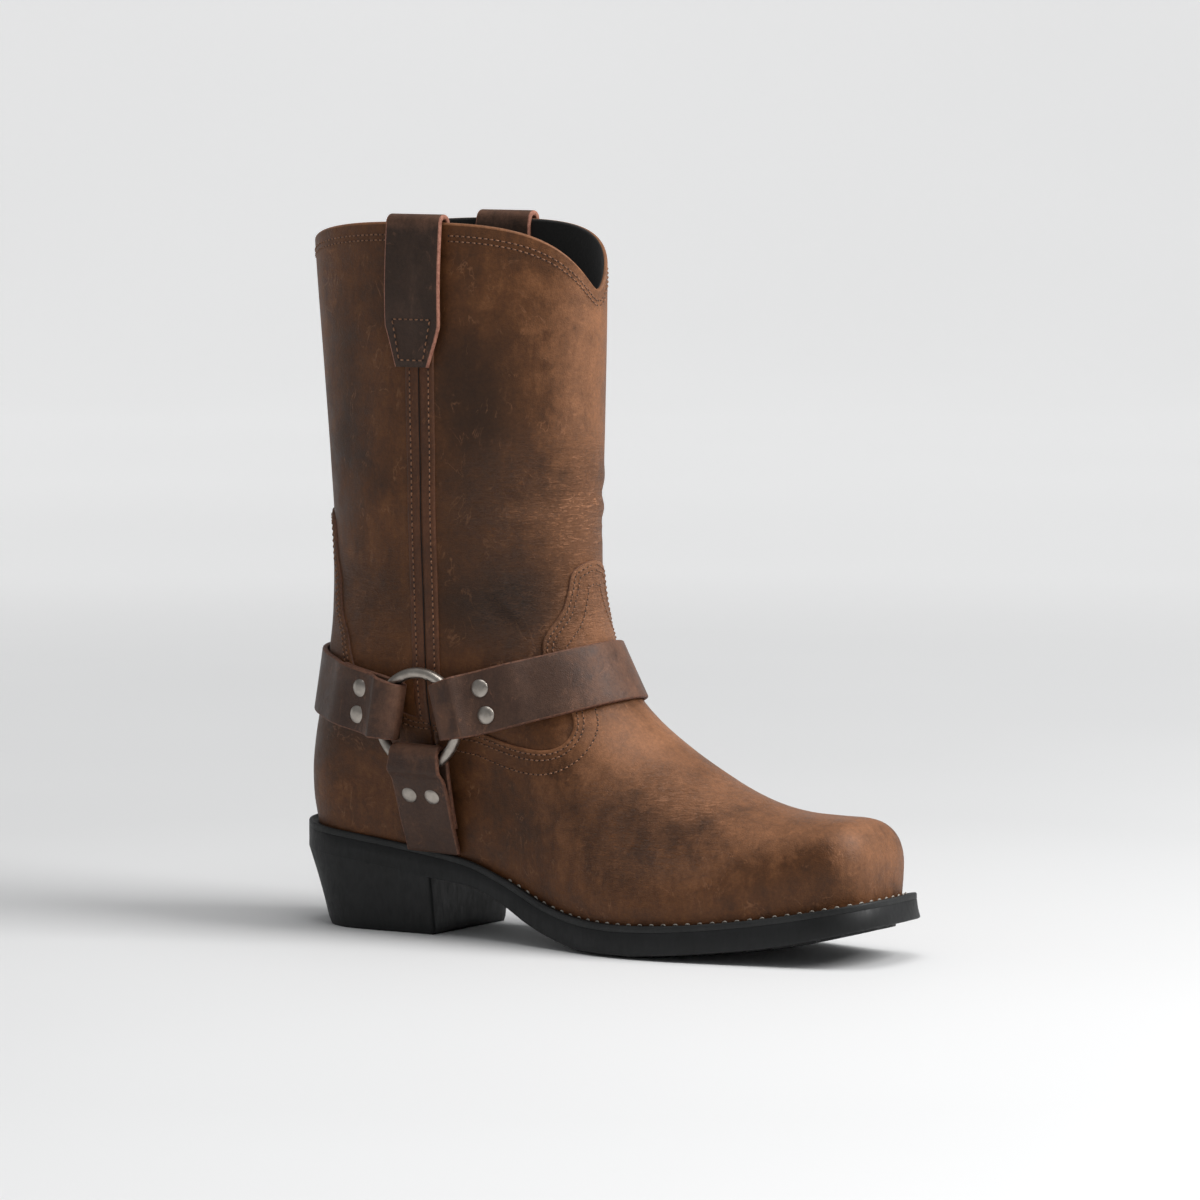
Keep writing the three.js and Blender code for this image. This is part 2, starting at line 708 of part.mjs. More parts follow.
// A strap from ring to ring, over the instep or round the heel.
function joiningStrap(angleDegrees, forward) {
  const reach = soleLength / 2;
  const halves = [-1, 1].map((side) => {
    const line = sideLine(side, angleDegrees, sideStrapShift, reach, forward);
    return strapEnd(line, side, sideStrapShift, sideStrapSettle, lengthOf(line) - 0.01, strapStep);
  });
  const [lateral, medial] = halves;
  const back = medial.stations.slice(0, -1).reverse();
  const turned = back.map((s) => ({ ...s, across: s.across.clone().negate() }));
  return { stations: [...lateral.stations, ...turned], seats: halves.map((h) => h.rivetSeat) };
}

// The short strap from a ring down to the welt in front of the heel.
function underStrap(side) {
  const angle = -Math.PI / 2 - THREE.MathUtils.degToRad(underStrapLean);
  const length = ringHeight - seat(ringAlong) - gap;
  const line = surfaceLine(ringAlong, ringHeight, angle, side, length, overlayThickness);
  const until = lengthOf(line) - 0.01;
  const { stations, rivetSeat } = strapEnd(line, side, 0, underStrapSettle, until, strapStep);
  return { stations, seats: [rivetSeat] };
}

// Rivets: a low dome on a shank, set through both layers of a strap.
function rivetGeometry() {
  const shankLength = 2 * strapThickness + gap;
  const r = rivetHead / 2;
  const profile = [
    [0, rivetCrown],
    [0.7 * r, 0.7 * rivetCrown],
    [r, 0],
    [rivetShank / 2, 0],
    [rivetShank / 2, -shankLength],
    [0, -shankLength],
  ].map(([radius, height]) => new THREE.Vector2(radius, height));
  const geometry = new THREE.LatheGeometry(profile.reverse(), 8);
  return geometry.rotateX(Math.PI / 2);
}
function rivetPlaces(seatAt) {
  return [-1, 1].map((way) => {
    const head = seatAt.middle.clone().addScaledVector(seatAt.across, (way * rivetSpacing) / 2);
    head.addScaledVector(seatAt.normal, strapThickness / 2 + gap / 2);
    return { head, axis: seatAt.normal };
  });
}
function placed(object, { head, axis }) {
  object.position.copy(head);
  object.quaternion.setFromUnitVectors(new THREE.Vector3(0, 0, 1), axis);
  return object;
}
function rivetHole(place) {
  const radius = rivetShank / 2 + gap / 2;
  const geometry = new THREE.CylinderGeometry(radius, radius, 6 * strapThickness, 8);
  const mesh = placed(new THREE.Mesh(geometry.rotateX(Math.PI / 2)), place);
  mesh.updateMatrix();
  return solidOf(geometry.applyMatrix4(mesh.matrix));
}

// A pull strap: up the outside of the shaft, over the collar and down its inside.
function pullStrap(side) {
  const outsideLift = gap + seamThickness + gap + pullThickness / 2;
  const insideGrow = -upperWall;
  const rows = [];
  const outside = 9;
  const x = seamTopAlong;
  for (let i = 0; i <= outside; i += 1) {
    const z = mix(pullFoot, collarHeight, i / outside);
    const point = new THREE.Vector3(x, side * upperHalf(x, z, side, 0), z);
    const out = outward(point, 0);
    const width = mix(pullFootWidth, pullWidth, clamp((z - pullFoot) / pullTaper, 0, 1));
    rows.push({ point, out, height: outsideLift, half: width / 2 });
  }
  const top = rows[outside].point;
  const overRadius = (upperWall + 2 * gap + seamThickness + gap + pullThickness) / 2;
  const crown = top.clone().addScaledVector(rows[outside].out, outsideLift - overRadius);
  const stations = rows.map(({ point, out, height, half }) => ({
    middle: point.clone().addScaledVector(out, height),
    across: new THREE.Vector3(1, 0, 0),
    out,
    half,
  }));
  const up = new THREE.Vector3(0, 0, 1);
  for (const degrees of [30, 60, 90, 120, 150]) {
    const angle = THREE.MathUtils.degToRad(degrees);
    const out = rows[outside].out.clone().multiplyScalar(Math.cos(angle));
    out.addScaledVector(up, Math.sin(angle));
    const middle = crown.clone().addScaledVector(out, overRadius);
    middle.setZ(middle.z + gap);
    stations.push({ middle, across: new THREE.Vector3(1, 0, 0), out, half: pullWidth / 2 });
  }
  const inside = 4;
  for (let i = 0; i <= inside; i += 1) {
    const z = mix(collarHeight, collarHeight - pullInside, i / inside);
    const edge = upperHalf(x - pullWidth / 2, z, side, insideGrow);
    const point = new THREE.Vector3(x, side * (edge - gap - pullThickness / 2 - 0.3), z);
    stations.push({
      middle: point,
      across: new THREE.Vector3(1, 0, 0),
      out: new THREE.Vector3(0, -side, 0),
      half: pullWidth / 2,
    });
  }
  return band(stations, pullThickness);
}

// A raised side seam, from the collar to the top of the vamp, following the shaft's surface.
function sideSeam(side) {
  const rows = 14;
  const across = 3;
  const positions = [];
  const index = [];
  const at = (r, c, t) => {
    const z = mix(seamTop, seamFoot, r / rows);
    const x = mix(seamTopAlong, seamFootAlong, r / rows) + seamWidth * (c / across - 0.5);
    const half = upperHalf(x, z, side, 0);
    const point = new THREE.Vector3(x, side * half, z);
    return point.addScaledVector(outward(point, 0), gap + t * seamThickness);
  };
  for (let r = 0; r <= rows; r += 1) {
    for (let c = 0; c <= across; c += 1) {
      for (const t of [0, 1]) positions.push(...at(r, c, t).toArray());
    }
  }
  const id = (r, c, t) => 2 * (r * (across + 1) + c) + t;
  const quad = (a, b, c, d) => index.push(a, b, c, a, c, d);
  for (let r = 0; r < rows; r += 1) {
    for (let c = 0; c < across; c += 1) {
      quad(id(r, c, 1), id(r + 1, c, 1), id(r + 1, c + 1, 1), id(r, c + 1, 1));
      quad(id(r, c, 0), id(r, c + 1, 0), id(r + 1, c + 1, 0), id(r + 1, c, 0));
    }
    quad(id(r, 0, 0), id(r + 1, 0, 0), id(r + 1, 0, 1), id(r, 0, 1));
    quad(id(r, across, 0), id(r, across, 1), id(r + 1, across, 1), id(r + 1, across, 0));
  }
  for (let c = 0; c < across; c += 1) {
    quad(id(0, c, 0), id(0, c, 1), id(0, c + 1, 1), id(0, c + 1, 0));
    quad(id(rows, c, 0), id(rows, c + 1, 0), id(rows, c + 1, 1), id(rows, c, 1));
  }
  return solid(positions, index);
}

// The heel under the sole: the sole's own plan, narrower at its base and undercut at the back.
function heelBlock() {
  const stations = Array.from({ length: heelStations + 1 }, (_, i) => {
    const t = i / heelStations;
    return heelBreast * t * t;
  });
  const half = (side) => stations.map((x) => ({ x, y: side * planHalf(x, side, 0, 0, 0) }));
  const top = [...half(-1), ...half(1).slice(1).reverse()];
  const base = top.map(({ x, y }) => ({
    x: mix(heelUndercut, heelBreast, x / heelBreast),
    y: (y * heelBaseWidth) / heelWidth,
  }));
  const positions = [];
  base.forEach(({ x, y }) => positions.push(x, y, 0));
  top.forEach(({ x, y }) => positions.push(x, y, heelSeatHeight));
  const n = top.length;
  const index = [];
  for (let i = 0; i < n; i += 1) {
    const j = (i + 1) % n;
    index.push(i, j, n + j, i, n + j, n + i);
  }
  for (let i = 1; i < n - 1; i += 1) index.push(0, i + 1, i, n, n + i, n + i + 1);
  const block = solid(positions, index).subtract(layer((x) => underside(x) - gap, () => collarHeight));
  return cutGrooves(block, heelGrooves);
}

// Straight grooves across the tread, up from the floor.
function cutGrooves(block, places) {
  return places.reduce((left, x) => {
    const groove = new THREE.BoxGeometry(treadGrooveWidth, 2 * ballWidth, 2 * treadGrooveDepth);
    groove.translate(x, 0, underside(x) * (x > heelBreast));
    return left.subtract(solidOf(groove));
  }, block);
}
const grooveRun = (from, to) => {
  const count = Math.max(1, Math.round((to - from) / treadPitch));
  return Array.from({ length: count }, (_, i) => mix(from, to, (i + 0.5) / count));
};
const heelGrooves = grooveRun(heelUndercut + treadBorder, heelBreast - treadBorder);
const foreGrooves = grooveRun(treadStart * soleLength, soleLength - treadBorder);

// The sole: a plain edge that stands off the floor, and inside it a field of lugs that reaches it.
function outsoleSolid() {
  const edge = planCutter(() => 0, 0, 0);
  const top = (x) => seat(x) - weltThickness - gap;
  const fore = (x) => smoothstep(heelBreast + treadRiseLow, heelBreast + treadRiseHigh, x);
  const low = (x) => underside(x) + treadHeight * fore(x);
  const body = layer(low, top).intersect(edge);
  const filler = layer((x) => low(x) + 1, seat).intersect(insideWelt(gap));
  const field = planCutter(() => treadBorder, treadBorder, treadBorder);
  const lugs = layer(underside, (x) => top(x) - 2).intersect(field);
  const fieldStart = new THREE.BoxGeometry(soleLength, 2 * ballWidth, collarHeight);
  fieldStart.translate(soleLength * (treadStart + 0.5), 0, 0);
  const tread = cutGrooves(lugs.intersect(solidOf(fieldStart)), foreGrooves);
  return body.add(filler).add(tread);
}
function insideWelt(clearance) {
  const inset = (x) => ledge(x) + weltUnderlap + clearance;
  return planCutter(inset, seatLedge + weltUnderlap + clearance, toeLedge + weltUnderlap + clearance);
}
function weltSolid() {
  const strip = layer((x) => seat(x) - weltThickness, seat);
  return strip.intersect(planCutter(() => 0, 0, 0)).subtract(insideWelt(0));
}

// Shares of the rings, close where the side view's outline turns.
const shareAt = ({ x, y }) => {
  const foot = seat(x) - featherDepth;
  return (y - foot) / (collarHeight - foot);
};
function ringShares(count) {
  const corner = upperFront - toeReach / 2;
  const outline = [
    new THREE.Vector2(upperFront, seat(upperFront) - featherDepth),
    new THREE.Vector2(upperFront, mix(seat(upperFront), toeTop, 0.7)),
    ...ridge.filter((p) => p.x < corner && p.z < collarHeight).map((p) => new THREE.Vector2(p.x, p.z)),
  ];
  const places = spread(outline, count, 10).map(shareAt);
  places[count] = 1;
  return places;
}

// A closed form of the upper, grown outwards or inwards, without a hollow.
function form(grow, shares) {
  const rings = shares.map((share) => ring(share, grow));
  const positions = rings.flat().flatMap((p) => [p.x, p.y, p.z]);
  const index = [];
  for (let r = 0; r < rings.length - 1; r += 1) {
    for (let c = 0; c < columns; c += 1) {
      const a = r * columns + c;
      const b = r * columns + ((c + 1) % columns);
      index.push(a, b, b + columns, a, b + columns, a + columns);
    }
  }
  const last = (rings.length - 1) * columns;
  for (let i = 0; i < columns / 2; i += 1) {
    const [a, b] = [i, i + 1];
    const [d, c] = [(columns - i) % columns, columns - i - 1];
    if (b !== c) index.push(a, c, b, last + a, last + b, last + c);
    if (a !== d) index.push(a, d, c, last + a, last + c, last + d);
  }
  return solid(positions, index);
}

// An outline of the side view, pushed right through the boot.
function sideCutter(points) {
  const shape = new THREE.Shape(points.map(([x, z]) => new THREE.Vector2(x, z)));
  const geometry = new THREE.ExtrudeGeometry(shape, { depth: 2 * ballWidth, bevelEnabled: false });
  geometry.rotateX(Math.PI / 2).translate(0, ballWidth, 0);
  return solidOf(geometry);
}

// Upper edges of the vamp with its tongue and of the counter with its back tongue, in the side view.
// Ahead is a share of the way from the side seam's foot to the ankle's front or back, and rise a
// share of the way from the seam's foot up to the tongue's tip.
const vampEdge = [
  { ahead: 0.02, rise: -0.045 },
  { ahead: 0.26, rise: -0.083 },
  { ahead: 0.42, rise: -0.101 },
  { ahead: 0.584, rise: -0.142 },
  { ahead: 0.7, rise: -0.169 },
  { ahead: 0.825, rise: -0.189 },
  { ahead: 0.949, rise: -0.196 },
  { ahead: 1.056, rise: -0.179 },
  { ahead: 1.117, rise: -0.142 },
  { ahead: 1.144, rise: -0.094 },
  { ahead: 1.142, rise: -0.039 },
  { ahead: 1.113, rise: 0.022 },
  { ahead: 1.06, rise: 0.1 },
  { ahead: 0.95, rise: 0.24 },
  { ahead: 0.87, rise: 0.37 },
  { ahead: 0.855, rise: 0.48 },
  { ahead: 0.895, rise: 0.576 },
  { ahead: 0.93, rise: 0.653 },
  { ahead: 0.945, rise: 0.77 },
  { ahead: 0.951, rise: 0.869 },
  { ahead: 0.965, rise: 0.91 },
  { ahead: 0.991, rise: 0.944 },
  { ahead: 1.018, rise: 0.98 },
  { ahead: 1.1, rise: 0.995 },
];
const counterEdge = [
  { ahead: 0.01, rise: -0.03 },
  { ahead: 0.14, rise: -0.02 },
  { ahead: 0.3, rise: 0.03 },
  { ahead: 0.46, rise: 0.11 },
  { ahead: 0.56, rise: 0.19 },
  { ahead: 0.625, rise: 0.282 },
  { ahead: 0.685, rise: 0.39 },
  { ahead: 0.76, rise: 0.54 },
  { ahead: 0.821, rise: 0.74 },
  { ahead: 0.863, rise: 0.917 },
  { ahead: 0.91, rise: 0.975 },
  { ahead: 1, rise: 1 },
];
function edgePoints(rows, end, tip) {
  return rows.map(({ ahead, rise }) => [mix(seamFootAlong, end, ahead), mix(seamFoot, tip, rise)]);
}
function upperSolid() {
  const outer = ringShares(outerRings);
  const inner = ringShares(innerRings);
  const vamp = edgePoints(vampEdge, ankleFront, tongueTip);
  const counter = edgePoints(counterEdge, upperBack(counterTip), counterTip);
  const vampCutter = sideCutter([
    ...vamp,
    [1.2 * soleLength, tongueTip],
    [1.2 * soleLength, 0],
    [vamp[0][0], 0],
  ].reverse());
  const counterCutter = sideCutter([
    ...counter,
    [-0.2 * soleLength, counterTip],
    [-0.2 * soleLength, 0],
    [counter[0][0], 0],
  ]);
  const raised = form(overlayThickness, outer).intersect(vampCutter.add(counterCutter));
  const hollow = form(-upperWall, [-0.02, ...inner, 1.02]);
  const below = layer(() => -1, (x) => seat(x) + gap);
  return form(0, outer).add(raised).subtract(hollow).subtract(below);
}
function insoleSolid() {
  const sheet = layer((x) => seat(x) + gap, (x) => seat(x) + gap + insoleThickness);
  return form(-upperWall - gap, ringShares(innerRings)).intersect(sheet);
}

// Materials
const leather = new THREE.MeshStandardMaterial({ color: 0x4a2c1c, roughness: 0.5, metalness: 0 });
const strapLeather = new THREE.MeshStandardMaterial({ color: 0x40281c, roughness: 0.5, metalness: 0 });
const insoleLeather = new THREE.MeshStandardMaterial({ color: 0x2a2624, roughness: 0.8, metalness: 0 });
const rubber = new THREE.MeshStandardMaterial({ color: 0x1b1b1d, roughness: 0.75, metalness: 0 });
const nickel = new THREE.MeshStandardMaterial({ color: 0xb8b6b0, roughness: 0.28, metalness: 1 });

const group = new THREE.Group();
function addPiece(name, made, material) {
  const { vertProperties, triVerts } = made.getMesh();
  const geometry = new THREE.BufferGeometry();
  geometry.setAttribute('position', new THREE.BufferAttribute(new Float32Array(vertProperties), 3));
  geometry.setIndex(new THREE.BufferAttribute(new Uint32Array(triVerts), 1));
  const mesh = new THREE.Mesh(geometry, material);
  mesh.name = name;
  group.add(mesh);
}

addPiece('upper', upperSolid(), leather);
addPiece('insole', insoleSolid(), insoleLeather);
addPiece('welt', weltSolid(), rubber);
addPiece('outsole', outsoleSolid(), rubber);
addPiece('heel', heelBlock(), rubber);

const rivet = rivetGeometry();
function addStrap(name, { stations, seats }, cut) {
  const places = seats.flatMap(rivetPlaces);
  const whole = band(stations, strapThickness);
  const holed = places.reduce((strap, place) => strap.subtract(rivetHole(place)), whole);
  addPiece(`${name}_strap`, cut(holed), strapLeather);
  places.forEach((place, i) => {
    const mesh = placed(new THREE.Mesh(rivet, nickel), place);
    mesh.name = `rivet_${name}_${i + 1}`;
    group.add(mesh);
  });
}
const uncut = (strap) => strap;
addStrap('instep', joiningStrap(instepStrapRise, 1), uncut);
addStrap('heel', joiningStrap(heelStrapRise, -1), uncut);

for (const [name, side] of [['lateral', -1], ['medial', 1]]) {
  const aboveWelt = (strap) => strap.subtract(layer(() => -1, (x) => seat(x) + gap));
  addStrap(`under_${name}`, underStrap(side), aboveWelt);
  addPiece(`side_seam_${name}`, sideSeam(side), leather);
  addPiece(`pull_strap_${name}`, pullStrap(side), strapLeather);
  const { centre, out } = ringPlace(side);
  const torus = new THREE.TorusGeometry(wireCircle, ringWire / 2, 8, 20);
  const mesh = placed(new THREE.Mesh(torus, nickel), { head: centre, axis: out });
  mesh.name = `ring_${name}`;
  group.add(mesh);
}

// The origin is on the floor, under the middle of the boot's box.
const box = new THREE.Box3().setFromObject(group, true);
group.position.set(-(box.min.x + box.max.x) / 2, -(box.min.y + box.max.y) / 2, -box.min.z);

export default group;
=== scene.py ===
# Harness boot for the right foot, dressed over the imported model.
# Lengths are millimetres along the boot from the back edge of its sole (x), across it with the
# outer side negative (y), and up from the floor (z). to_row turns them into the row's metres.
import math

import bpy
import numpy as np
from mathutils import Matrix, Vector


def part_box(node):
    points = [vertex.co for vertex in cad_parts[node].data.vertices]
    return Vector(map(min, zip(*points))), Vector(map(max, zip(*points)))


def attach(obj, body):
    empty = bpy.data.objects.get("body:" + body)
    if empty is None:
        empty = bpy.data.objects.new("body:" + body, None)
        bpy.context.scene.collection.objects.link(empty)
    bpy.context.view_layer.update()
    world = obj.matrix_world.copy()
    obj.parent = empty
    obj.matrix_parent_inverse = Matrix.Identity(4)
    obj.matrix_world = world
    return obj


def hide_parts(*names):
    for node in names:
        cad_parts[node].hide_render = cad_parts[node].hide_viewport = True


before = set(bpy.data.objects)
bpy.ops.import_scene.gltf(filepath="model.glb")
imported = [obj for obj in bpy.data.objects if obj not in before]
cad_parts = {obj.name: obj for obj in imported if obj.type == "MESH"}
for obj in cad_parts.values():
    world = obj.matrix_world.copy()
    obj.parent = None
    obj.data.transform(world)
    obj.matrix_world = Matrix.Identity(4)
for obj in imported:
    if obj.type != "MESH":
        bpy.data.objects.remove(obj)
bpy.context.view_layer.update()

# Sole and heel
sole_length = 311
heel_width = 72
waist_width = 64
ball_width = 100
toe_width = 64
heel_seat_height = 49
ball_seat_height = 15
toe_spring = 18
sole_thickness = 12.5
welt_thickness = 3
arch_height = 27
heel_breast = 82
heel_undercut = 11
heel_base_width = 63
toe_corner_reach = 24
heel_squareness = 2.15
toe_squareness = 2.8
tread_groove_width = 2.4
tread_groove_depth = 1.6
tread_pitch = 11
tread_border = 9
tread_height = 2.8
edge_lift = 1.3
tread_start = 0.47

# Upper
seat_ledge = 3.2
welt_ledge = 5
toe_ledge = 7
upper_wall = 2.4
overlay_thickness = 1.2
feather_bulge = 2.5
bulge_height = 18
toe_top = 63.2
ankle_front = 149.6
ankle_height = 176
shaft_lean = 4.4
heel_hollow = 10.5
ankle_width = 83
collar_width = 75
collar_height = 327
front_dip = 37
back_dip = 17
front_dip_turn = 2.95
back_dip_turn = 2.2
foot_blend_low = 12
foot_blend_high = 72
heel_round = 20
feather_depth = 4
toe_reach = 19
tongue_tip = 177
counter_tip = 194
seam_width = 15
seam_thickness = 1
seam_top = 322
seam_foot = 104
seam_top_along = 79
seam_foot_along = 87.5

# Harness
ring_inner_diameter = 38
ring_wire = 5
ring_along = 87
ring_height = 101.5
strap_width = 29
strap_fold_width = 26
strap_thickness = 2.5
strap_tail = 34
instep_strap_rise = 15
heel_strap_rise = 9.5
side_strap_shift = 1
under_strap_lean = 1
side_strap_settle = 44
under_strap_settle = 62
rivet_head = 8.2
rivet_crown = 1.7
rivet_spacing = 12.5
rivet_from_ring = 34.5
gap = 0.3
fold_clearance = 0.35
lay_gap = 0.6

# Pull straps
pull_width = 30
pull_thickness = 2.3
pull_foot = 262
pull_taper = 19
pull_foot_width = 18
pull_inside = 42

# Fineness
upper_rings = 210
upper_columns = 300
lining_rings = 60
lining_columns = 120
outline_points = 260
strap_step = 1.6
strap_ease = 6
under_strap_ease = 11

mix = lambda a, b, t: a + (b - a) * t


def smoothstep(low, high, value):
    t = np.clip((value - low) / (high - low), 0, 1)
    return t * t * (3 - 2 * t)


def table(columns, *rows):
    """Rows of numbers under named columns."""
    return {name: np.array([row[i] for row in rows], float) for i, name in enumerate(columns.split())}


def along(rows, place, column):
    """The smooth curve through a table: the named column at places between the rows' own."""
    at = rows["at"]
    value = rows[column]
    slope = np.empty_like(value)
    slope[1:-1] = (value[2:] - value[:-2]) / (at[2:] - at[:-2])
    slope[0] = (value[1] - value[0]) / (at[1] - at[0])
    slope[-1] = (value[-1] - value[-2]) / (at[-1] - at[-2])
    place = np.clip(place, at[0], at[-1])
    i = np.clip(np.searchsorted(at, place, side="right") - 1, 0, len(at) - 2)
    span = at[i + 1] - at[i]
    t = (place - at[i]) / span
    start = value[i] * (1 + 2 * t) * (1 - t) ** 2 + slope[i] * span * t * (1 - t) ** 2
    return start + value[i + 1] * t * t * (3 - 2 * t) + slope[i + 1] * span * t * t * (t - 1)


def unit(vectors):
    vectors = np.asarray(vectors, float)
    length = np.linalg.norm(vectors, axis=-1, keepdims=True)
    return vectors / np.maximum(length, 1e-9)


# Plan of the sole: half widths at shares of its length, as shares of half the width they follow.
sole_plan = table(
    "at width lateral medial",
    (0, heel_width, 1, 1),
    (0.12, heel_width, 1, 1),
    (0.27, heel_width, 0.95, 0.93),
    (0.4, waist_width, 1.15, 0.88),
    (0.5, ball_width, 0.86, 0.7),
    (0.6, ball_width, 1, 0.9),
    (0.69, ball_width, 0.99, 1),
    (0.8, ball_width, 0.84, 0.92),
    (0.91, toe_width, 1.04, 1.2),
    (1, toe_width, 0.9, 1.1),
)
sole_plan["lateral"] *= sole_plan["width"] / 2
sole_plan["medial"] *= sole_plan["width"] / 2

# Top of the welt and underside of the sole: shares of each rise at shares of the length.
seat_line = table(
    "at heel toe",
    (0, 1, 0),
    (0.12, 0.9, 0),
    (0.27, 0.73, 0),
    (0.34, 0.62, 0),
    (0.41, 0.4, 0),
    (0.475, 0.17, 0),
    (0.53, 0.05, 0),
    (0.6, 0, 0),
    (0.68, 0, 0.04),
    (0.78, 0, 0.22),
    (0.88, 0, 0.52),
    (1, 0, 1),
)
underside_line = table(
    "at arch toe",
    (0, 1.35, 0),
    (0.12, 1.22, 0),
    (0.27, 1, 0),
    (0.34, 0.86, 0),
    (0.4, 0.6, 0),
    (0.45, 0.32, 0),
    (0.5, 0.13, 0),
    (0.55, 0.01, 0),
    (0.6, -0.02, -0.02),
    (0.68, 0, 0.04),
    (0.78, 0, 0.21),
    (0.88, 0, 0.46),
    (1, 0, 0.96),
)


def seat(x):
    share = x / sole_length
    heel = (heel_seat_height - ball_seat_height) * along(seat_line, share, "heel")
    toe = (toe_spring + sole_thickness - ball_seat_height) * along(seat_line, share, "toe")
    return ball_seat_height + heel + toe


def underside(x):
    share = x / sole_length
    arch = arch_height * along(underside_line, share, "arch")
    return np.maximum(0, arch + toe_spring * along(underside_line, share, "toe"))


def outline(x, side):
    share = x / sole_length
    return np.where(side < 0, along(sole_plan, share, "lateral"), along(sole_plan, share, "medial"))


def ledge(x):
    fore = mix(welt_ledge, toe_ledge, smoothstep(0.8 * sole_length, sole_length, x))
    return mix(seat_ledge, fore, smoothstep(0.25 * sole_length, 0.45 * sole_length, x))


def fullness(distance, reach, squareness):
    p = 1 - np.clip(distance / reach, 0, 1)
    return (1 - p**squareness) ** (1 / squareness)


def plan_half(x, side, inset, heel_inset, toe_inset):
    heel_end = fullness(x - heel_inset, heel_width / 2 - heel_inset, heel_squareness)
    toe_end = fullness(sole_length - toe_inset - x, toe_corner_reach - toe_inset, toe_squareness)
    return (outline(x, side) - inset) * heel_end * toe_end


# Back of the upper: how far forward it lies, as a share of the heel's hollow, by height.
back_line = table(
    "at hollow",
    (0, 0.12),
    (0.04, 0),
    (0.09, 0),
    (0.15, 0.2),
    (0.22, 0.56),
    (0.29, 0.76),
    (0.36, 0.9),
    (0.47, 0.88),
    (0.61, 0.58),
    (0.76, 0.18),
    (0.9, -0.2),
    (1, -0.42),
)


def upper_back(z):
    share = (z - heel_seat_height) / (collar_height - heel_seat_height)
    return seat_ledge + 1 + heel_hollow * along(back_line, share, "hollow")


# Ridge of the upper from the toe back over the instep and up the front of the shaft. Ahead and
# rise are shares from ankle to toe; round and square give the section's rounding.
upper_front = sole_length - toe_ledge - 0.5
foot_ridge = table(
    "ahead rise round square",
    (1.3, 0, 0.36, 2.9),
    (1.05, 0, 0.36, 2.9),
    (0.933, 0, 0.38, 2.8),
    (0.827, 0, 0.42, 2.6),
    (0.713, 0.008, 0.5, 2.3),
    (0.607, 0.037, 0.57, 2.1),
    (0.5, 0.09, 0.62, 2),
    (0.393, 0.164, 0.67, 2),
    (0.29, 0.25, 0.71, 2),
    (0.19, 0.35, 0.76, 2),
    (0.11, 0.46, 0.82, 2),
    (0.055, 0.59, 0.88, 2.05),
    (0.02, 0.73, 0.94, 2.1),
    (0.004, 0.857, 0.98, 2.1),
)
shaft_ridge = table(
    "at lean",
    (0, 0),
    (0.126, 0.08),
    (0.29, 0.3),
    (0.49, 0.58),
    (0.72, 0.85),
    (1, 1),
    (1.15, 1.05),
)
foot_rows = len(foot_ridge["ahead"])
shaft_rows = len(shaft_ridge["at"])
ridge_rows = {
    "at": np.arange(foot_rows + shaft_rows, dtype=float),
    "x": np.concatenate(
        [mix(ankle_front, upper_front, foot_ridge["ahead"]), ankle_front + shaft_lean * shaft_ridge["lean"]]
    ),
    "z": np.concatenate(
        [mix(toe_top, ankle_height, foot_ridge["rise"]), mix(ankle_height, collar_height, shaft_ridge["at"])]
    ),
    "round": np.concatenate([foot_ridge["round"], np.ones(shaft_rows)]),
    "square": np.concatenate([foot_ridge["square"], np.full(shaft_rows, 2.1)]),
}
ridge_places = np.linspace(0, foot_rows + shaft_rows - 1, 241)
ridge = {name: along(ridge_rows, ridge_places, name) for name in ("x", "z", "round", "square")}


def nearest_on_line(x, z, line_x, line_z):
    """Distance to a line of points in the side view, its side, and the place along it."""
    shape = np.shape(x)
    x = np.ravel(x)
    z = np.ravel(z)
    ax, az = line_x[:-1], line_z[:-1]
    dx, dz = np.diff(line_x), np.diff(line_z)
    length = dx * dx + dz * dz
    distance = np.empty(len(x))
    inside = np.empty(len(x))
    place = np.empty(len(x))
    for start in range(0, len(x), 6000):
        part = slice(start, start + 6000)
        px = x[part, None] - ax
        pz = z[part, None] - az
        t = np.clip((px * dx + pz * dz) / length, 0, 1)
        square = (px - t * dx) ** 2 + (pz - t * dz) ** 2
        best = np.argmin(square, axis=1)
        row = np.arange(len(best))
        distance[part] = np.sqrt(square[row, best])
        inside[part] = np.where(dx[best] * pz[row, best] - dz[best] * px[row, best] > 0, 1, -1)
        place[part] = best + t[row, best]
    return distance.reshape(shape), inside.reshape(shape), place.reshape(shape)


ankle_depth = (ankle_front - upper_back(ankle_height)) / 2


def half_depth(z):
    rise = (z - ankle_height) / (collar_height - ankle_height)
    shaft = (ankle_front + shaft_lean * along(shaft_ridge, rise, "lean") - upper_back(z)) / 2
    return np.where(z <= ankle_height, ankle_depth, shaft)


def side_reach(x, z, side):
    lift = np.clip((z - seat(x)) / bulge_height, 0, 1)
    foot = outline(x, side) - ledge(x) + feather_bulge * np.sin(lift * math.pi / 2)
    shaft = mix(ankle_width, collar_width, smoothstep(ankle_height, collar_height, z)) / 2
    rise = smoothstep(heel_seat_height + foot_blend_low, heel_seat_height + foot_blend_high, z)
    return mix(foot, shaft, rise)


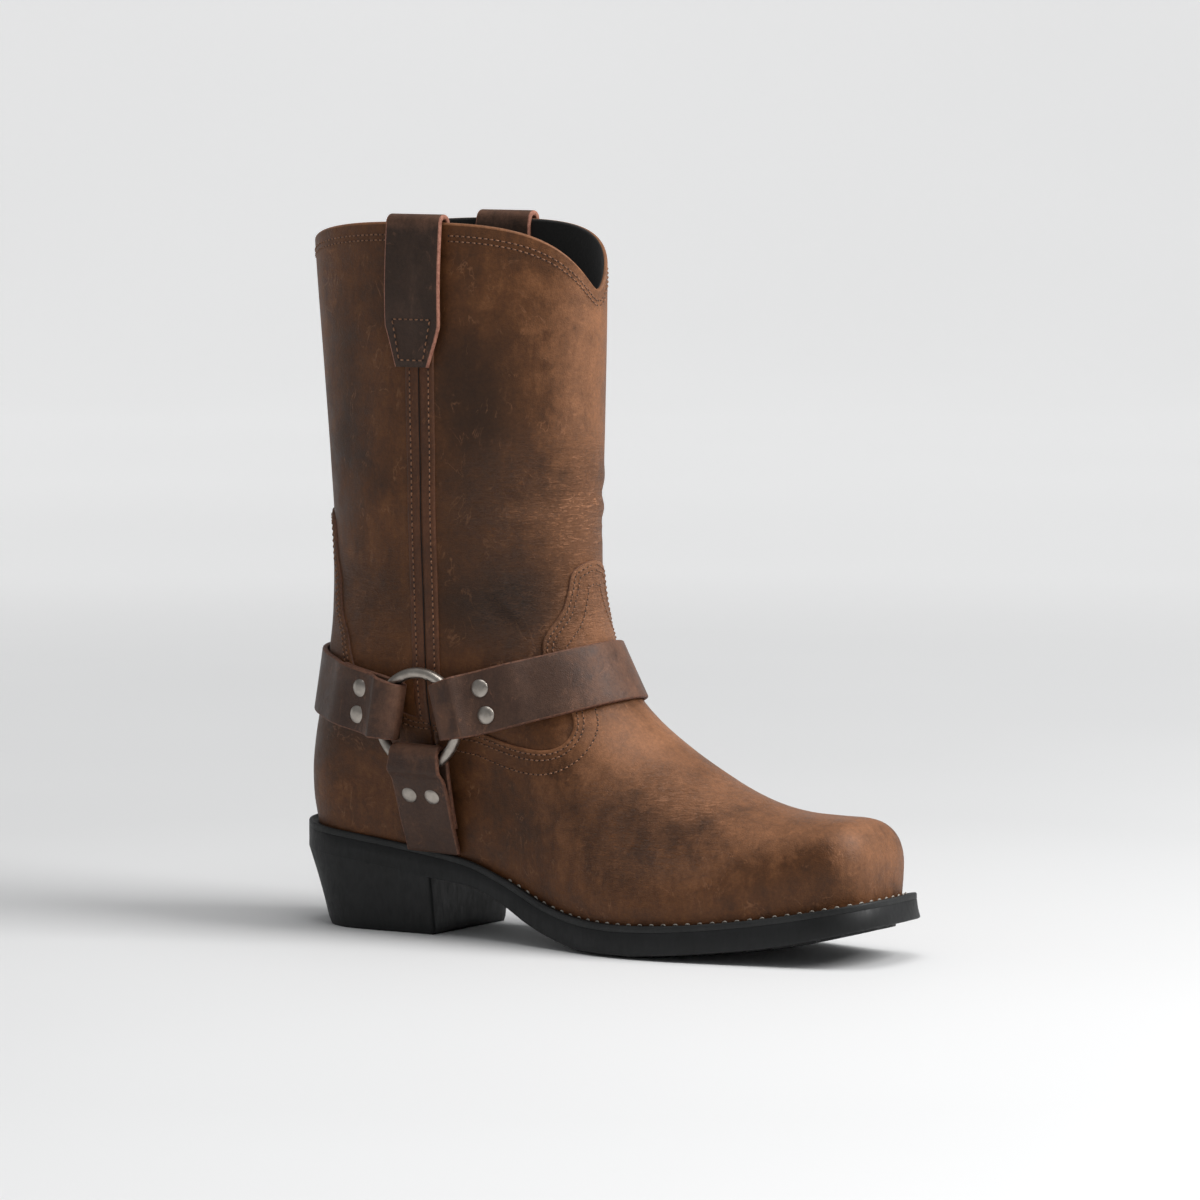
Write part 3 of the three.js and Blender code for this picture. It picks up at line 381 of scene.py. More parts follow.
def rounding(x, z, grow):
    """How much of the half width is rounded away, 1 or more outside, and the section's exponent."""
    distance, inside, place = nearest_on_line(x, z, ridge["x"], ridge["z"])
    i = np.minimum(place.astype(int), len(ridge["x"]) - 2)
    t = place - i
    square = mix(ridge["square"][i], ridge["square"][i + 1], t)
    top_reach = mix(ridge["round"][i], ridge["round"][i + 1], t) * half_depth(z) + grow
    rise = smoothstep(heel_seat_height + heel_round, ankle_height - heel_round, z)
    back_reach = mix(heel_width / 2 - seat_ledge, half_depth(z), rise) + grow
    top = np.maximum(1 - (distance * inside + grow) / top_reach, 0)
    toe = np.maximum(1 - (upper_front - x + grow) / (toe_reach + grow), 0)
    back = np.maximum(1 - (x - upper_back(z) + grow) / back_reach, 0)
    return top**square + toe**square + back**square, square


def upper_half(x, z, side, grow):
    total, square = rounding(x, z, grow)
    return (side_reach(x, z, side) + grow) * np.maximum(1 - total, 0) ** (1 / square)


def level(points, grow):
    """Below 0 inside the upper's surface and above 0 outside."""
    x, y, z = np.moveaxis(points, -1, 0)
    total, square = rounding(x, z, grow)
    return (np.abs(y) / (side_reach(x, z, y) + grow)) ** square + total - 1


def slope_of_level(points, grow):
    step = 0.25 * np.eye(3)
    return np.stack([(level(points + s, grow) - level(points - s, grow)) / 0.5 for s in step], axis=-1)


def outward(points, grow):
    return unit(slope_of_level(points, grow))


def settle(points, grow):
    """Points brought onto the upper's surface along its own slope."""
    points = np.array(points, float)
    for _ in range(4):
        slope = slope_of_level(points, grow)
        size = np.sum(slope * slope, axis=-1)
        step = np.clip(level(points, grow) / np.maximum(size, 1e-6), -400, 400)
        move = slope * step[..., None]
        length = np.linalg.norm(move, axis=-1, keepdims=True)
        points -= move * np.minimum(1, 3 / np.maximum(length, 1e-9))
    return points


# Main creases and swells. At and height are shares of the sole's length and the collar's
# height, turn is in degrees from level in the side view, and length, width and lift in mm; lift
# below 0 is a trough. Side is -1 outer, 1 inner, 0 both.
creases = table(
    "side at height turn length width lift",
    (0, 0.455, 0.62, 4, 52, 3.2, -0.75),
    (0, 0.46, 0.6, 8, 44, 3, 0.5),
    (0, 0.45, 0.582, 2, 40, 2.6, -0.55),
    (0, 0.462, 0.565, 12, 30, 2.4, -0.4),
    (0, 0.44, 0.645, -6, 40, 4, 0.45),
    (-1, 0.4, 0.46, -52, 34, 3.2, -0.7),
    (-1, 0.43, 0.45, -50, 28, 3, 0.45),
    (-1, 0.425, 0.47, -48, 24, 2.6, -0.45),
    (1, 0.4, 0.455, -50, 34, 3.4, -0.7),
    (1, 0.42, 0.475, -46, 26, 3, 0.4),
    (0, 0.13, 0.5, 12, 48, 6, -0.7),
    (0, 0.12, 0.455, 16, 42, 5, 0.5),
    (0, 0.13, 0.42, 20, 36, 4.5, -0.5),
    (-1, 0.3, 0.76, 78, 110, 15, -0.8),
    (-1, 0.18, 0.72, 84, 130, 13, 0.7),
    (-1, 0.42, 0.8, 88, 90, 12, 0.5),
    (1, 0.3, 0.74, 98, 110, 15, -0.8),
    (1, 0.19, 0.66, 88, 110, 13, 0.6),
    (0, 0.62, 0.19, -62, 44, 5, -0.5),
    (0, 0.66, 0.17, -60, 36, 4.5, 0.4),
    (0, 0.7, 0.16, -64, 34, 4.5, -0.4),
    (-1, 0.545, 0.255, -40, 34, 5, -0.5),
    (1, 0.545, 0.25, -38, 36, 5, -0.5),
)


def crease_lift(x, y, z):
    total = np.zeros(np.shape(x))
    for side, at, height, turn, length, width, lift in zip(*creases.values()):
        angle = math.radians(turn)
        dx = x - at * sole_length
        dz = z - height * collar_height
        run = dx * math.cos(angle) + dz * math.sin(angle)
        off = dz * math.cos(angle) - dx * math.sin(angle)
        off = off + 0.5 * width * np.sin(run / (0.16 * length) + 7 * at)
        taper = smoothstep(length / 2, length / 6, np.abs(run))
        near = 1 if side == 0 else smoothstep(-12, 4, side * y)
        total += lift * near * taper * np.exp(-((off / width) ** 2))
    return total * smoothstep(6, 22, z - seat(x)) * smoothstep(collar_height - 4, collar_height - 30, z)


def skin(x, z, side, lift):
    """Points on the outside of the upper at places of the side view, lifted off it, and the way out."""
    x, z = np.broadcast_arrays(np.asarray(x, float), np.asarray(z, float))
    base = np.stack([x, side * upper_half(x, z, side, 0), z], axis=-1)
    return lifted(base, lift)


def lifted(base, lift):
    out = outward(base, 0)
    x, y, z = np.moveaxis(base, -1, 0)
    height = crease_lift(x, y, z) + lift
    return base + out * height[..., None], out


# Collar
shaft_middle = (ankle_front + shaft_lean + upper_back(collar_height)) / 2


def collar_line(x, grow=0):
    share = np.clip((x - shaft_middle) / (half_depth(collar_height) + grow), -1, 1)
    turn = 2 * np.arcsin(np.abs(share)) / math.pi
    front = front_dip * turn**front_dip_turn
    return collar_height - np.where(share > 0, front, back_dip * turn**back_dip_turn)


def ring_height_at(x, share, grow=0):
    dip = (collar_line(x, grow) - collar_height) * smoothstep(0.72, 1, share)
    return mix(seat(x) - feather_depth, collar_height, share) + dip


def ring_end(share, grow, far):
    inner = np.full(share.shape, float(ring_along))
    outer = np.full(share.shape, float(far))
    for _ in range(36):
        middle = (inner + outer) / 2
        outside = rounding(middle, ring_height_at(middle, share, grow), grow)[0] >= 1
        outer = np.where(outside, middle, outer)
        inner = np.where(outside, inner, middle)
    return inner


def spread(points, count, turn_weight):
    """Points along a line, spaced by its length and by how much it turns."""
    step = np.diff(points, axis=0)
    length = np.linalg.norm(step, axis=1)
    heading = unit(step)
    turn = np.arccos(np.clip(np.sum(heading[1:] * heading[:-1], axis=1), -1, 1))
    turn[(length[1:] < 1e-7) | (length[:-1] < 1e-7)] = 0
    reach = np.concatenate([[0], np.cumsum(length + turn_weight * np.append(turn, 0))])
    goal = np.linspace(0, reach[-1], count + 1)
    return np.stack([np.interp(goal, reach, points[:, k]) for k in range(points.shape[1])], axis=1)


def ring_grid(shares, grow, columns):
    """Rings of the upper: each from the back along the outer side to the front and back inside."""
    back = ring_end(shares, grow, -20)[:, None]
    front = ring_end(shares, grow, upper_front + 20)[:, None]
    t = np.linspace(0, 1, 361)
    x = mix(back, front, t**4 / (t**4 + (1 - t) ** 4))
    z = ring_height_at(x, shares[:, None], grow)
    grid = np.empty((len(shares), columns, 3))
    for side in (-1, 1):
        y = side * upper_half(x, z, side, grow)
        y[:, 0] = 0
        y[:, -1] = 0
        for r in range(len(shares)):
            half = spread(np.stack([x[r], y[r], z[r]], axis=1), columns // 2, 20)
            if side < 0:
                grid[r, : columns // 2 + 1] = half
            else:
                grid[r, columns // 2 + 1 :] = half[-2:0:-1]
    return grid


def ring_shares(count):
    """Shares of the rings, close where the side view's outline turns."""
    corner = (ridge["x"] < upper_front - toe_reach / 2) & (ridge["z"] < collar_height)
    foot = seat(upper_front)
    low = np.array([[upper_front, foot - feather_depth], [upper_front, mix(foot, toe_top, 0.7)]])
    line = np.concatenate([low, np.stack([ridge["x"][corner], ridge["z"][corner]], axis=1)])
    line = np.concatenate([line, [[ankle_front + shaft_lean, collar_height]]])
    x, z = spread(line, count, 10).T
    foot = seat(x) - feather_depth
    shares = (z - foot) / (collar_height - foot)
    shares[-1] = 1
    return np.maximum.accumulate(shares)


# Where the row's origin lies: on the floor under the middle of the boot's box.
heel_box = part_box("heel")
origin = np.array([sole_length / 2, -500 * (heel_box[0].y + heel_box[1].y), 0])
heel_places = np.linspace(0, heel_breast, 200)
heel_middle = np.max(plan_half(heel_places, 1, 0, 0, 0)) - np.max(plan_half(heel_places, -1, 0, 0, 0))
origin[1] += heel_middle / 2


def to_row(points):
    return (np.asarray(points, float) - origin) / 1000


# Meshes
def add_mesh(name, points, faces, materials, smooth=True, marks=None, face_marks=None):
    """A piece from its corners and faces; marks are named numbers at its corners for its material."""
    mesh = bpy.data.meshes.new(name)
    mesh.from_pydata(to_row(points).tolist(), [], [list(map(int, f)) for f in faces])
    mesh.update()
    mesh.polygons.foreach_set("use_smooth", [smooth] * len(mesh.polygons))
    for mark, values in (marks or {}).items():
        layer = mesh.attributes.new(name=mark, type="FLOAT", domain="POINT")
        layer.data.foreach_set("value", np.asarray(values, np.float32))
    piece = bpy.data.objects.new(name, mesh)
    bpy.context.scene.collection.objects.link(piece)
    for material in materials:
        mesh.materials.append(material)
    if face_marks is not None:
        mesh.polygons.foreach_set("material_index", np.asarray(face_marks, np.int32))
    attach(piece, "root")
    return piece


def grid_faces(rows, columns, closed=False, flip=False):
    r, c = np.meshgrid(np.arange(rows - 1), np.arange(columns if closed else columns - 1), indexing="ij")
    d = (c + 1) % columns
    a, b = r * columns + c, r * columns + d
    faces = np.stack([a, b, b + columns, a + columns], axis=-1).reshape(-1, 4)
    return faces[:, ::-1] if flip else faces


def capsules(centres, headings, outs, length, radius, arch):
    """Many small stitches as one mesh: each a thread that arches up and dips at its ends."""
    stations = np.linspace(-1, 1, 6)
    around = np.linspace(0, 2 * math.pi, 6, endpoint=False)
    across = unit(np.cross(headings, outs))
    thick = radius * np.array([0.35, 0.9, 1, 1, 0.9, 0.35])
    rise = arch * (1 - stations**2) - 0.35 * radius
    n = len(centres)
    points = (
        centres[:, None, None]
        + headings[:, None, None] * (stations * length / 2)[None, :, None, None]
        + outs[:, None, None] * (rise[:, None] + thick[:, None] * np.sin(around))[None, :, :, None]
        + across[:, None, None] * (thick[:, None] * np.cos(around))[None, :, :, None]
    )
    one = grid_faces(6, 6, closed=True)
    ends = np.array([[5, 4, 3, 2], [5, 2, 1, 0], [30, 31, 32, 33], [30, 33, 34, 35]])
    faces = (np.concatenate([one, ends])[None] + 36 * np.arange(n)[:, None, None]).reshape(-1, 4)
    return points.reshape(-1, 3), faces


def discs(centres, outs, radius, lift):
    """Many small near-black discs as one mesh: painted shade of the needle holes, with no hole cut."""
    around = np.linspace(0, 2 * math.pi, 6, endpoint=False)
    first = unit(np.cross(outs, np.array([0.31, 0.17, 0.93])))
    second = np.cross(outs, first)
    ring = (
        centres[:, None]
        + radius * first[:, None] * np.cos(around)[None, :, None]
        + radius * second[:, None] * np.sin(around)[None, :, None]
        + lift * outs[:, None]
    )
    one = np.array([[0, 1, 2, 3], [0, 3, 4, 5]])
    faces = (one[None] + 6 * np.arange(len(centres))[:, None, None]).reshape(-1, 4)
    return ring.reshape(-1, 3), faces


def even(path, pitch):
    """Centres, headings and lengths at an even pitch along a line of points."""
    length = np.linalg.norm(np.diff(path, axis=0), axis=1)
    reach = np.concatenate([[0], np.cumsum(length)])
    count = max(1, int(reach[-1] / pitch))
    goal = (np.arange(count) + 0.5) * reach[-1] / count
    at = lambda g: np.stack([np.interp(g, reach, path[:, k]) for k in range(3)], axis=1)
    step = 0.45 * reach[-1] / count
    return at(goal), unit(at(goal + step) - at(goal - step)), at(np.arange(count + 1) * reach[-1] / count)


class Sewing:
    """Gathers rows of stitches into one mesh of thread and one of near-black discs, painted shade for the needle
    holes.
    """

    def __init__(self, name, thread, slot, pitch, thread_share, radius):
        self.name = name
        self.thread = thread
        self.slot = slot
        self.pitch = pitch
        self.length = pitch * thread_share
        self.radius = radius
        self.threads = []
        self.holes = []

    def row(self, path, out_at):
        centres, headings, holes = even(np.asarray(path), self.pitch)
        self.threads.append((centres, headings, out_at(centres)))
        self.holes.append((holes, out_at(holes)))

    def finish(self):
        centres, headings, outs = (np.concatenate(part) for part in zip(*self.threads))
        points, faces = capsules(centres, headings, outs, self.length, self.radius, 0.9 * self.radius)
        add_mesh(self.name, points, faces, [self.thread])
        holes, hole_outs = (np.concatenate(part) for part in zip(*self.holes))
        points, faces = discs(holes, hole_outs, 1.15 * self.radius, 0.06)
        add_mesh(self.name + "_needle_hole_painted_shade", points, faces, [needle_hole_painted_shade])


# Materials
def colour(hex_value):
    """An sRGB hex value as linear colour."""
    parts = [int(hex_value[i : i + 2], 16) / 255 for i in (1, 3, 5)]
    linear = [c / 12.92 if c <= 0.04045 else ((c + 0.055) / 1.055) ** 2.4 for c in parts]
    return (*linear, 1)


def material(name):
    made = bpy.data.materials.new(name)
    made.use_nodes = True
    made.node_tree.nodes.clear()
    out = node(made, "ShaderNodeOutputMaterial")
    shader = node(made, "ShaderNodeBsdfPrincipled")
    made.node_tree.links.new(shader.outputs["BSDF"], out.inputs["Surface"])
    return made, shader


def node(made, kind, settings=None, **links):
    """Adds a node with its settings; each link is an input's name and what goes into it."""
    added = made.node_tree.nodes.new(kind)
    for setting, value in (settings or {}).items():
        setattr(added, setting, value)
    connect(made, added, **links)
    return added


def connect(made, added, **links):
    for label, value in links.items():
        socket = added.inputs[int(label[1:])] if label[1:].isdigit() else added.inputs[label.replace("_", " ")]
        if isinstance(value, bpy.types.NodeSocket):
            made.node_tree.links.new(value, socket)
        else:
            socket.default_value = value


def ramp(made, factor, *stops):
    """A ramp from places to sRGB hex colours or plain numbers."""
    added = node(made, "ShaderNodeValToRGB", Fac=factor)
    elements = added.color_ramp.elements
    while len(elements) < len(stops):
        elements.new(0.5)
    for element, (place, value) in zip(elements, stops):
        element.position = place
        element.color = colour(value) if isinstance(value, str) else (value, value, value, 1)
    return added.outputs["Color"]


def blend(made, factor, a, b, how="MIX"):
    added = node(made, "ShaderNodeMix", {"data_type": "RGBA", "blend_type": how}, i0=factor, i6=a, i7=b)
    return added.outputs[2]


def noise(made, place, size_mm, detail, roughness=0.55, distortion=0.0, stretch=(1, 1, 1)):
    """Noise whose largest forms are about size_mm across on the real thing."""
    scaled = node(made, "ShaderNodeMapping", Vector=place, Scale=stretch)
    added = node(
        made,
        "ShaderNodeTexNoise",
        Vector=scaled.outputs[0],
        Scale=1000 / size_mm,
        Detail=detail,
        Roughness=roughness,
        Distortion=distortion,
    )
    return added.outputs["Fac"]


def maths(made, how, a, b=0.5):
    return node(made, "ShaderNodeMath", {"operation": how}, i0=a, i1=b).outputs[0]


def bump(made, height, strength, depth_mm, below=None):
    added = node(made, "ShaderNodeBump", Strength=strength, Distance=depth_mm / 1000, Height=height)
    if below is not None:
        made.node_tree.links.new(below, added.inputs["Normal"])
    return added.outputs[0]


def oiled_leather(name, tones_dark_to_light, rub_and_highlight, gloss, grain_mm, worn=True):
    """Pull-up leather: oil makes it dark and patchy, and bends, edges and rubbed places go lighter; when worn, the
    marks at its corners also paint highlights in the lighter tone and painted shade in the darkest tone.
    """
    deep, body, bright = tones_dark_to_light
    made, shader = material(name)
    place = node(made, "ShaderNodeTexCoord").outputs["Object"]
    clouds = noise(made, place, 50, 3, 0.6, 0.6)
    mottle = noise(made, place, 9, 6, 0.68, 0.4)
    streaks = noise(made, place, 6, 5, 0.66, 0.7, (1, 1, 0.3))
    fine = noise(made, place, 1.5, 4, 0.7)
    tone = maths(made, "MULTIPLY", clouds, 0.46)
    tone = maths(made, "ADD", tone, maths(made, "MULTIPLY", mottle, 0.32))
    tone = maths(made, "ADD", tone, maths(made, "MULTIPLY", streaks, 0.22))
    base = ramp(made, tone, (0.3, deep), (0.5, body), (0.68, bright))
    if worn:
        # Rubbed places and painted highlights pull the colour towards the lighter tone; painted shade pulls it
        # towards the darkest.
        wear_and_highlight = node(made, "ShaderNodeAttribute", {"attribute_name": "wear_and_highlight"}).outputs["Fac"]
        patch = maths(made, "MULTIPLY", maths(made, "SUBTRACT", mottle, 0.5), 0.7)
        patch = maths(made, "ADD", patch, maths(made, "MULTIPLY", maths(made, "SUBTRACT", clouds, 0.5), 0.3))
        patch = maths(made, "ADD", patch, maths(made, "MULTIPLY", maths(made, "SUBTRACT", streaks, 0.5), 0.36))
        light = node(made, "ShaderNodeMath", {"operation": "ADD", "use_clamp": True}, i0=wear_and_highlight, i1=patch)
        weight = ramp(made, light.outputs[0], (0.1, 0.0), (1.0, 1.0))
        base = blend(made, weight, base, colour(rub_and_highlight))
        shade = node(made, "ShaderNodeAttribute", {"attribute_name": "shade"}).outputs["Fac"]
        base = blend(made, shade, base, colour(deep))
    lines = noise(made, place, 15, 4, 0.55, 1.4, (1, 1, 0.6))
    thin = ramp(made, lines, (0.482, 0.0), (0.5, 1.0), (0.518, 0.0))
    where = ramp(made, noise(made, place, 11, 3, 0.6, 0.5), (0.52, 0.0), (0.64, 0.4))
    scratches = maths(made, "MULTIPLY", thin, where)
    base = blend(made, scratches, base, colour(rub_and_highlight))
    speckle = ramp(made, fine, (0.3, 0.8), (0.7, 1.2))
    base = blend(made, 1.0, base, speckle, "MULTIPLY")
    connect(made, shader, Base_Color=base)
    rough = ramp(made, mottle, (0.3, gloss - 0.08), (0.7, gloss + 0.1))
    connect(made, shader, Roughness=rough, IOR=1.5, Specular_IOR_Level=0.3)
    pores = node(
        made,
        "ShaderNodeTexVoronoi",
        {"feature": "DISTANCE_TO_EDGE"},
        Vector=place,
        Scale=1000 / grain_mm,
        Randomness=1.0,
    ).outputs["Distance"]
    pebble = bump(made, ramp(made, pores, (0.0, 0.0), (0.35, 1.0)), 0.24, 0.25)
    dents = bump(made, maths(made, "MULTIPLY", scratches, -1.0), 0.3, 0.3, pebble)
    wrinkle = noise(made, place, 4.2, 5, 0.72, 1.6, (1, 1, 2.2))
    soft = bump(made, wrinkle, 0.34, 0.6, dents)
    buckle = bump(made, noise(made, place, 26, 3, 0.55, 0.5), 0.34, 1.5, soft)
    if worn:
        crease = node(made, "ShaderNodeAttribute", {"attribute_name": "crease"}).outputs["Fac"]
        folds = noise(made, place, 3.0, 4, 0.62, 2.2, (0.42, 0.42, 2.6))
        sharp = ramp(made, folds, (0.42, 0.0), (0.5, 1.0), (0.58, 0.0))
        sharp = maths(made, "MULTIPLY", sharp, crease)
        height = maths(made, "MULTIPLY", sharp, -1.0)
        buckle = bump(made, height, 0.9, 0.6, buckle)
        base = blend(made, maths(made, "MULTIPLY", sharp, 0.3), base, colour(rub_and_highlight))
        connect(made, shader, Base_Color=base)
    connect(made, shader, Normal=buckle)
    return made


def cut_leather_edge(name, dark, light):
    """The raw cut edge of thick leather: unoiled fibre, lighter, redder and matt."""
    made, shader = material(name)
    place = node(made, "ShaderNodeTexCoord").outputs["Object"]
    fibre = noise(made, place, 1.6, 4, 0.65)
    connect(made, shader, Base_Color=ramp(made, fibre, (0.32, dark), (0.68, light)), Roughness=0.7, IOR=1.5)
    connect(made, shader, Normal=bump(made, fibre, 0.5, 0.3))
    return made


def vulcanised_rubber(name, dark, light, gloss):
    """Moulded black rubber: charcoal, slightly waxy, with a dusty bloom and fine scuffs."""
    made, shader = material(name)
    place = node(made, "ShaderNodeTexCoord").outputs["Object"]
    bloom = noise(made, place, 18, 5, 0.6)
    scuff = noise(made, place, 2.5, 4, 0.7, 0.8, (1, 1, 0.35))
    base = ramp(made, bloom, (0.32, dark), (0.68, light))
    connect(made, shader, Base_Color=base, Roughness=ramp(made, scuff, (0.3, gloss - 0.08), (0.7, gloss + 0.1)))
    connect(made, shader, IOR=1.52, Specular_IOR_Level=0.35, Normal=bump(made, scuff, 0.28, 0.25))
    return made


def waxed_thread(name, dark, light):
    """Waxed polyester thread: tan, twisted, with a soft sheen."""
    made, shader = material(name)
    place = node(made, "ShaderNodeTexCoord").outputs["Object"]
    twist = noise(made, place, 0.8, 2, 0.5)
    connect(made, shader, Base_Color=ramp(made, twist, (0.3, dark), (0.7, light)), Roughness=0.55, IOR=1.5)
    connect(made, shader, Normal=bump(made, twist, 0.4, 0.15))
    return made


def satin_nickel(name):
    """Nickel-plated steel, tumbled to a satin finish: warm grey metal with soft wide highlights."""
    made, shader = material(name)
    place = node(made, "ShaderNodeTexCoord").outputs["Object"]
    cloud = noise(made, place, 7, 4, 0.6)
    base = ramp(made, cloud, (0.3, "#8f8880"), (0.7, "#b9b1a8"))
    connect(made, shader, Base_Color=base, Metallic=1.0)
    connect(made, shader, Roughness=ramp(made, noise(made, place, 1.5, 4, 0.65), (0.3, 0.3), (0.7, 0.44)))
    connect(made, shader, Normal=bump(made, noise(made, place, 0.9, 3, 0.6), 0.12, 0.08))
    return made


def brushed_lining(name, dark, light):
    """Black lining: brushed pigskin, matt with a short nap."""
    made, shader = material(name)
    place = node(made, "ShaderNodeTexCoord").outputs["Object"]
    nap = noise(made, place, 1.3, 4, 0.7)
    connect(made, shader, Base_Color=ramp(made, nap, (0.3, dark), (0.7, light)), Roughness=0.9, IOR=1.45)
    connect(made, shader, Sheen_Weight=0.15, Normal=bump(made, nap, 0.4, 0.3))
    return made


upper_tones = ("#2c1a0c", "#563318", "#734725")
strap_tones = ("#30201a", "#453025", "#583f31")
seam_tones = ("#3a2213", "#51311d", "#673f28")
upper_leather = oiled_leather("oiled_pull_up_leather", upper_tones, "#986848", 0.52, 1.1)
strap_leather = oiled_leather("oiled_strap_leather", strap_tones, "#8a6049", 0.52, 0.9)
seam_leather = oiled_leather("oiled_piping_leather", seam_tones, "#8a5a3a", 0.52, 0.9, False)
leather_edge = cut_leather_edge("cut_leather_edge", "#452a1d", "#744b36")
pull_leather = oiled_leather("oiled_pull_strap_leather", ("#251912", "#35251b", "#463329"), "#7d5743", 0.52, 0.9)
pull_edge = cut_leather_edge("pull_strap_cut_edge", "#7a4b3a", "#a9745f")
# Near-black finish for the side seams' groove: painted shade in the recess.
painted_shade_groove = cut_leather_edge("seam_groove_painted_shade", "#140d09", "#1f140e")
sole_rubber = vulcanised_rubber("vulcanised_rubber", "#0c0d0d", "#161718", 0.55)
welt_rubber = vulcanised_rubber("rubber_welt", "#161717", "#252626", 0.6)
tan_thread = waxed_thread("tan_waxed_thread", "#5c3c27", "#96694a")
grey_thread = waxed_thread("grey_waxed_thread", "#7d776f", "#b5aea4")
# Near-black finish for the discs at the needle holes: painted shade, as no hole is cut.
needle_hole_painted_shade = cut_leather_edge("needle_hole_painted_shade", "#0d0907", "#170f0b")
nickel = satin_nickel("satin_nickel")
lining = brushed_lining("black_brushed_lining", "#0c0b09", "#1a1815")
insole_leather = brushed_lining("dark_insole_leather", "#1c1815", "#2c2622")

# Soft places in the leather's colour: lighter where the oil has moved as the boot bends or is rubbed,
# with painted highlights on the shaft's front, the vamp's top and the toe's corner (tone above 0);
# darker where the oil has gathered, with painted shade mostly on the outer side (tone below 0). At
# and height as for the creases; reach is along and up, in mm.
tones = table(
    "side at height along up tone",
    (0, 0.505, 0.87, 14, 44, 0.46),
    (0, 0.51, 0.71, 14, 46, 0.58),
    (0, 0.505, 0.58, 15, 26, 0.6),
    (0, 0.51, 0.464, 14, 22, 1.0),
    (-1, 0.45, 0.6, 16, 12, 0.4),
    (-1, 0.42, 0.86, 14, 26, 0.1),
    (-1, 0.365, 0.74, 20, 34, -0.85),
    (-1, 0.3, 0.84, 16, 34, -0.4),
    (-1, 0.34, 0.47, 26, 20, -0.85),
    (-1, 0.42, 0.48, 14, 18, -0.7),
    (-1, 0.31, 0.6, 20, 20, -0.35),
    (-1, 0.12, 0.75, 14, 40, -0.6),
    (-1, 0.06, 0.84, 12, 50, 0.2),
    (-1, 0.12, 0.53, 14, 10, 0.18),
    (-1, 0.17, 0.47, 12, 12, -0.3),
    (-1, 0.2, 0.9, 16, 26, -0.4),
    (-1, 0.13, 0.21, 26, 12, 0.1),
    (-1, 0.13, 0.29, 30, 10, -0.5),
    (0, 0.6, 0.29, 28, 18, 0.72),
    (0, 0.72, 0.22, 26, 12, 0.6),
    (-1, 0.51, 0.195, 26, 18, 0.22),
    (-1, 0.66, 0.125, 34, 10, 0.24),
    (-1, 0.76, 0.13, 22, 10, 0.05),
    (0, 0.94, 0.2, 20, 8, 0.6),
    (0, 0.84, 0.18, 24, 12, 0.5),
    # Painted highlight on the toe's corner and front, where the light catches them.
    (-1, 0.957, 0.17, 5, 13, 0.35),
    (0, 0.985, 0.14, 7, 16, 0.6),
    (-1, 0.94, 0.115, 16, 9, -0.3),
    (1, 0.36, 0.62, 26, 34, 0.3),
    (1, 0.16, 0.5, 34, 40, -0.3),
    (1, 0.7, 0.15, 40, 14, 0.2),
)


def upper_marks(points):
    """Wear with painted highlights, darker places with painted shade, and fine creasing at places of the upper, for
    its leather.
    """
    x, y, z = np.moveaxis(points, -1, 0)
    wear_and_highlight = np.zeros(x.shape)
    shade = np.zeros(x.shape)
    for side, at, height, run, up, tone in zip(*tones.values()):
        near = 1 if side == 0 else smoothstep(-16, 8, side * y)
        off = ((x - at * sole_length) / run) ** 2 + ((z - height * collar_height) / up) ** 2
        amount = np.exp(-off) * near * tone
        # Tones above 0 are rubbed places with painted highlights; tones below 0 are darker places with painted shade.
        wear_and_highlight += np.maximum(amount, 0)
        shade += np.maximum(-amount, 0)
    flex = np.exp(-(((x - 0.45 * sole_length) / 34) ** 2) - ((z - 0.6 * collar_height) / 24) ** 2)
    flex += 0.8 * np.exp(-(((x - 0.42 * sole_length) / 24) ** 2) - ((z - 0.47 * collar_height) / 20) ** 2)
    flex += 0.6 * np.exp(-(((x - 0.66 * sole_length) / 34) ** 2) - ((z - 0.17 * collar_height) / 22) ** 2)
    flex += 0.5 * np.exp(-(((x - 0.12 * sole_length) / 34) ** 2) - ((z - 0.46 * collar_height) / 26) ** 2)
    return {"wear_and_highlight": np.clip(wear_and_highlight, 0, 1).ravel(), "shade": np.clip(shade, 0, 1).ravel(), "crease": flex.ravel()}


# Upper edges of the vamp with its tongue and of the counter, in the side view: shares of the way
# from the side seam's foot to the ankle's front or back, and up to the tongue's tip.
vamp_edge = table(
    "ahead rise",
    (0.02, -0.045),
    (0.26, -0.083),
    (0.42, -0.101),
    (0.584, -0.142),
    (0.7, -0.169),
    (0.825, -0.189),
    (0.949, -0.196),
    (1.056, -0.179),
    (1.117, -0.142),
    (1.144, -0.094),
    (1.142, -0.039),
    (1.113, 0.022),
    (1.06, 0.1),
    (0.95, 0.24),
    (0.87, 0.37),
    (0.855, 0.48),
    (0.895, 0.576),
    (0.93, 0.653),
    (0.945, 0.77),
    (0.951, 0.869),
    (0.965, 0.91),
    (0.991, 0.944),
    (1.018, 0.98),
    (1.1, 0.995),
    (1.3, 1),
)
counter_edge = table(
    "ahead rise",
    (0.01, -0.03),
    (0.14, -0.02),
    (0.3, 0.03),
    (0.46, 0.11),
    (0.56, 0.19),
    (0.625, 0.282),
    (0.685, 0.39),
    (0.76, 0.54),
    (0.821, 0.74),
    (0.863, 0.917),
    (0.91, 0.975),
    (1, 1),
    (1.2, 1.02),
)


def edge_line(rows, end, tip):
    x = mix(seam_foot_along, end, rows["ahead"])
    z = mix(seam_foot, tip, rows["rise"])
    curve = {"at": np.arange(len(x), dtype=float), "x": x, "z": z}
    places = np.linspace(0, len(x) - 1, 8 * len(x))
    line = np.stack([along(curve, places, "x"), along(curve, places, "z")], axis=1)
    return np.concatenate([[[line[0, 0], -20]], line])


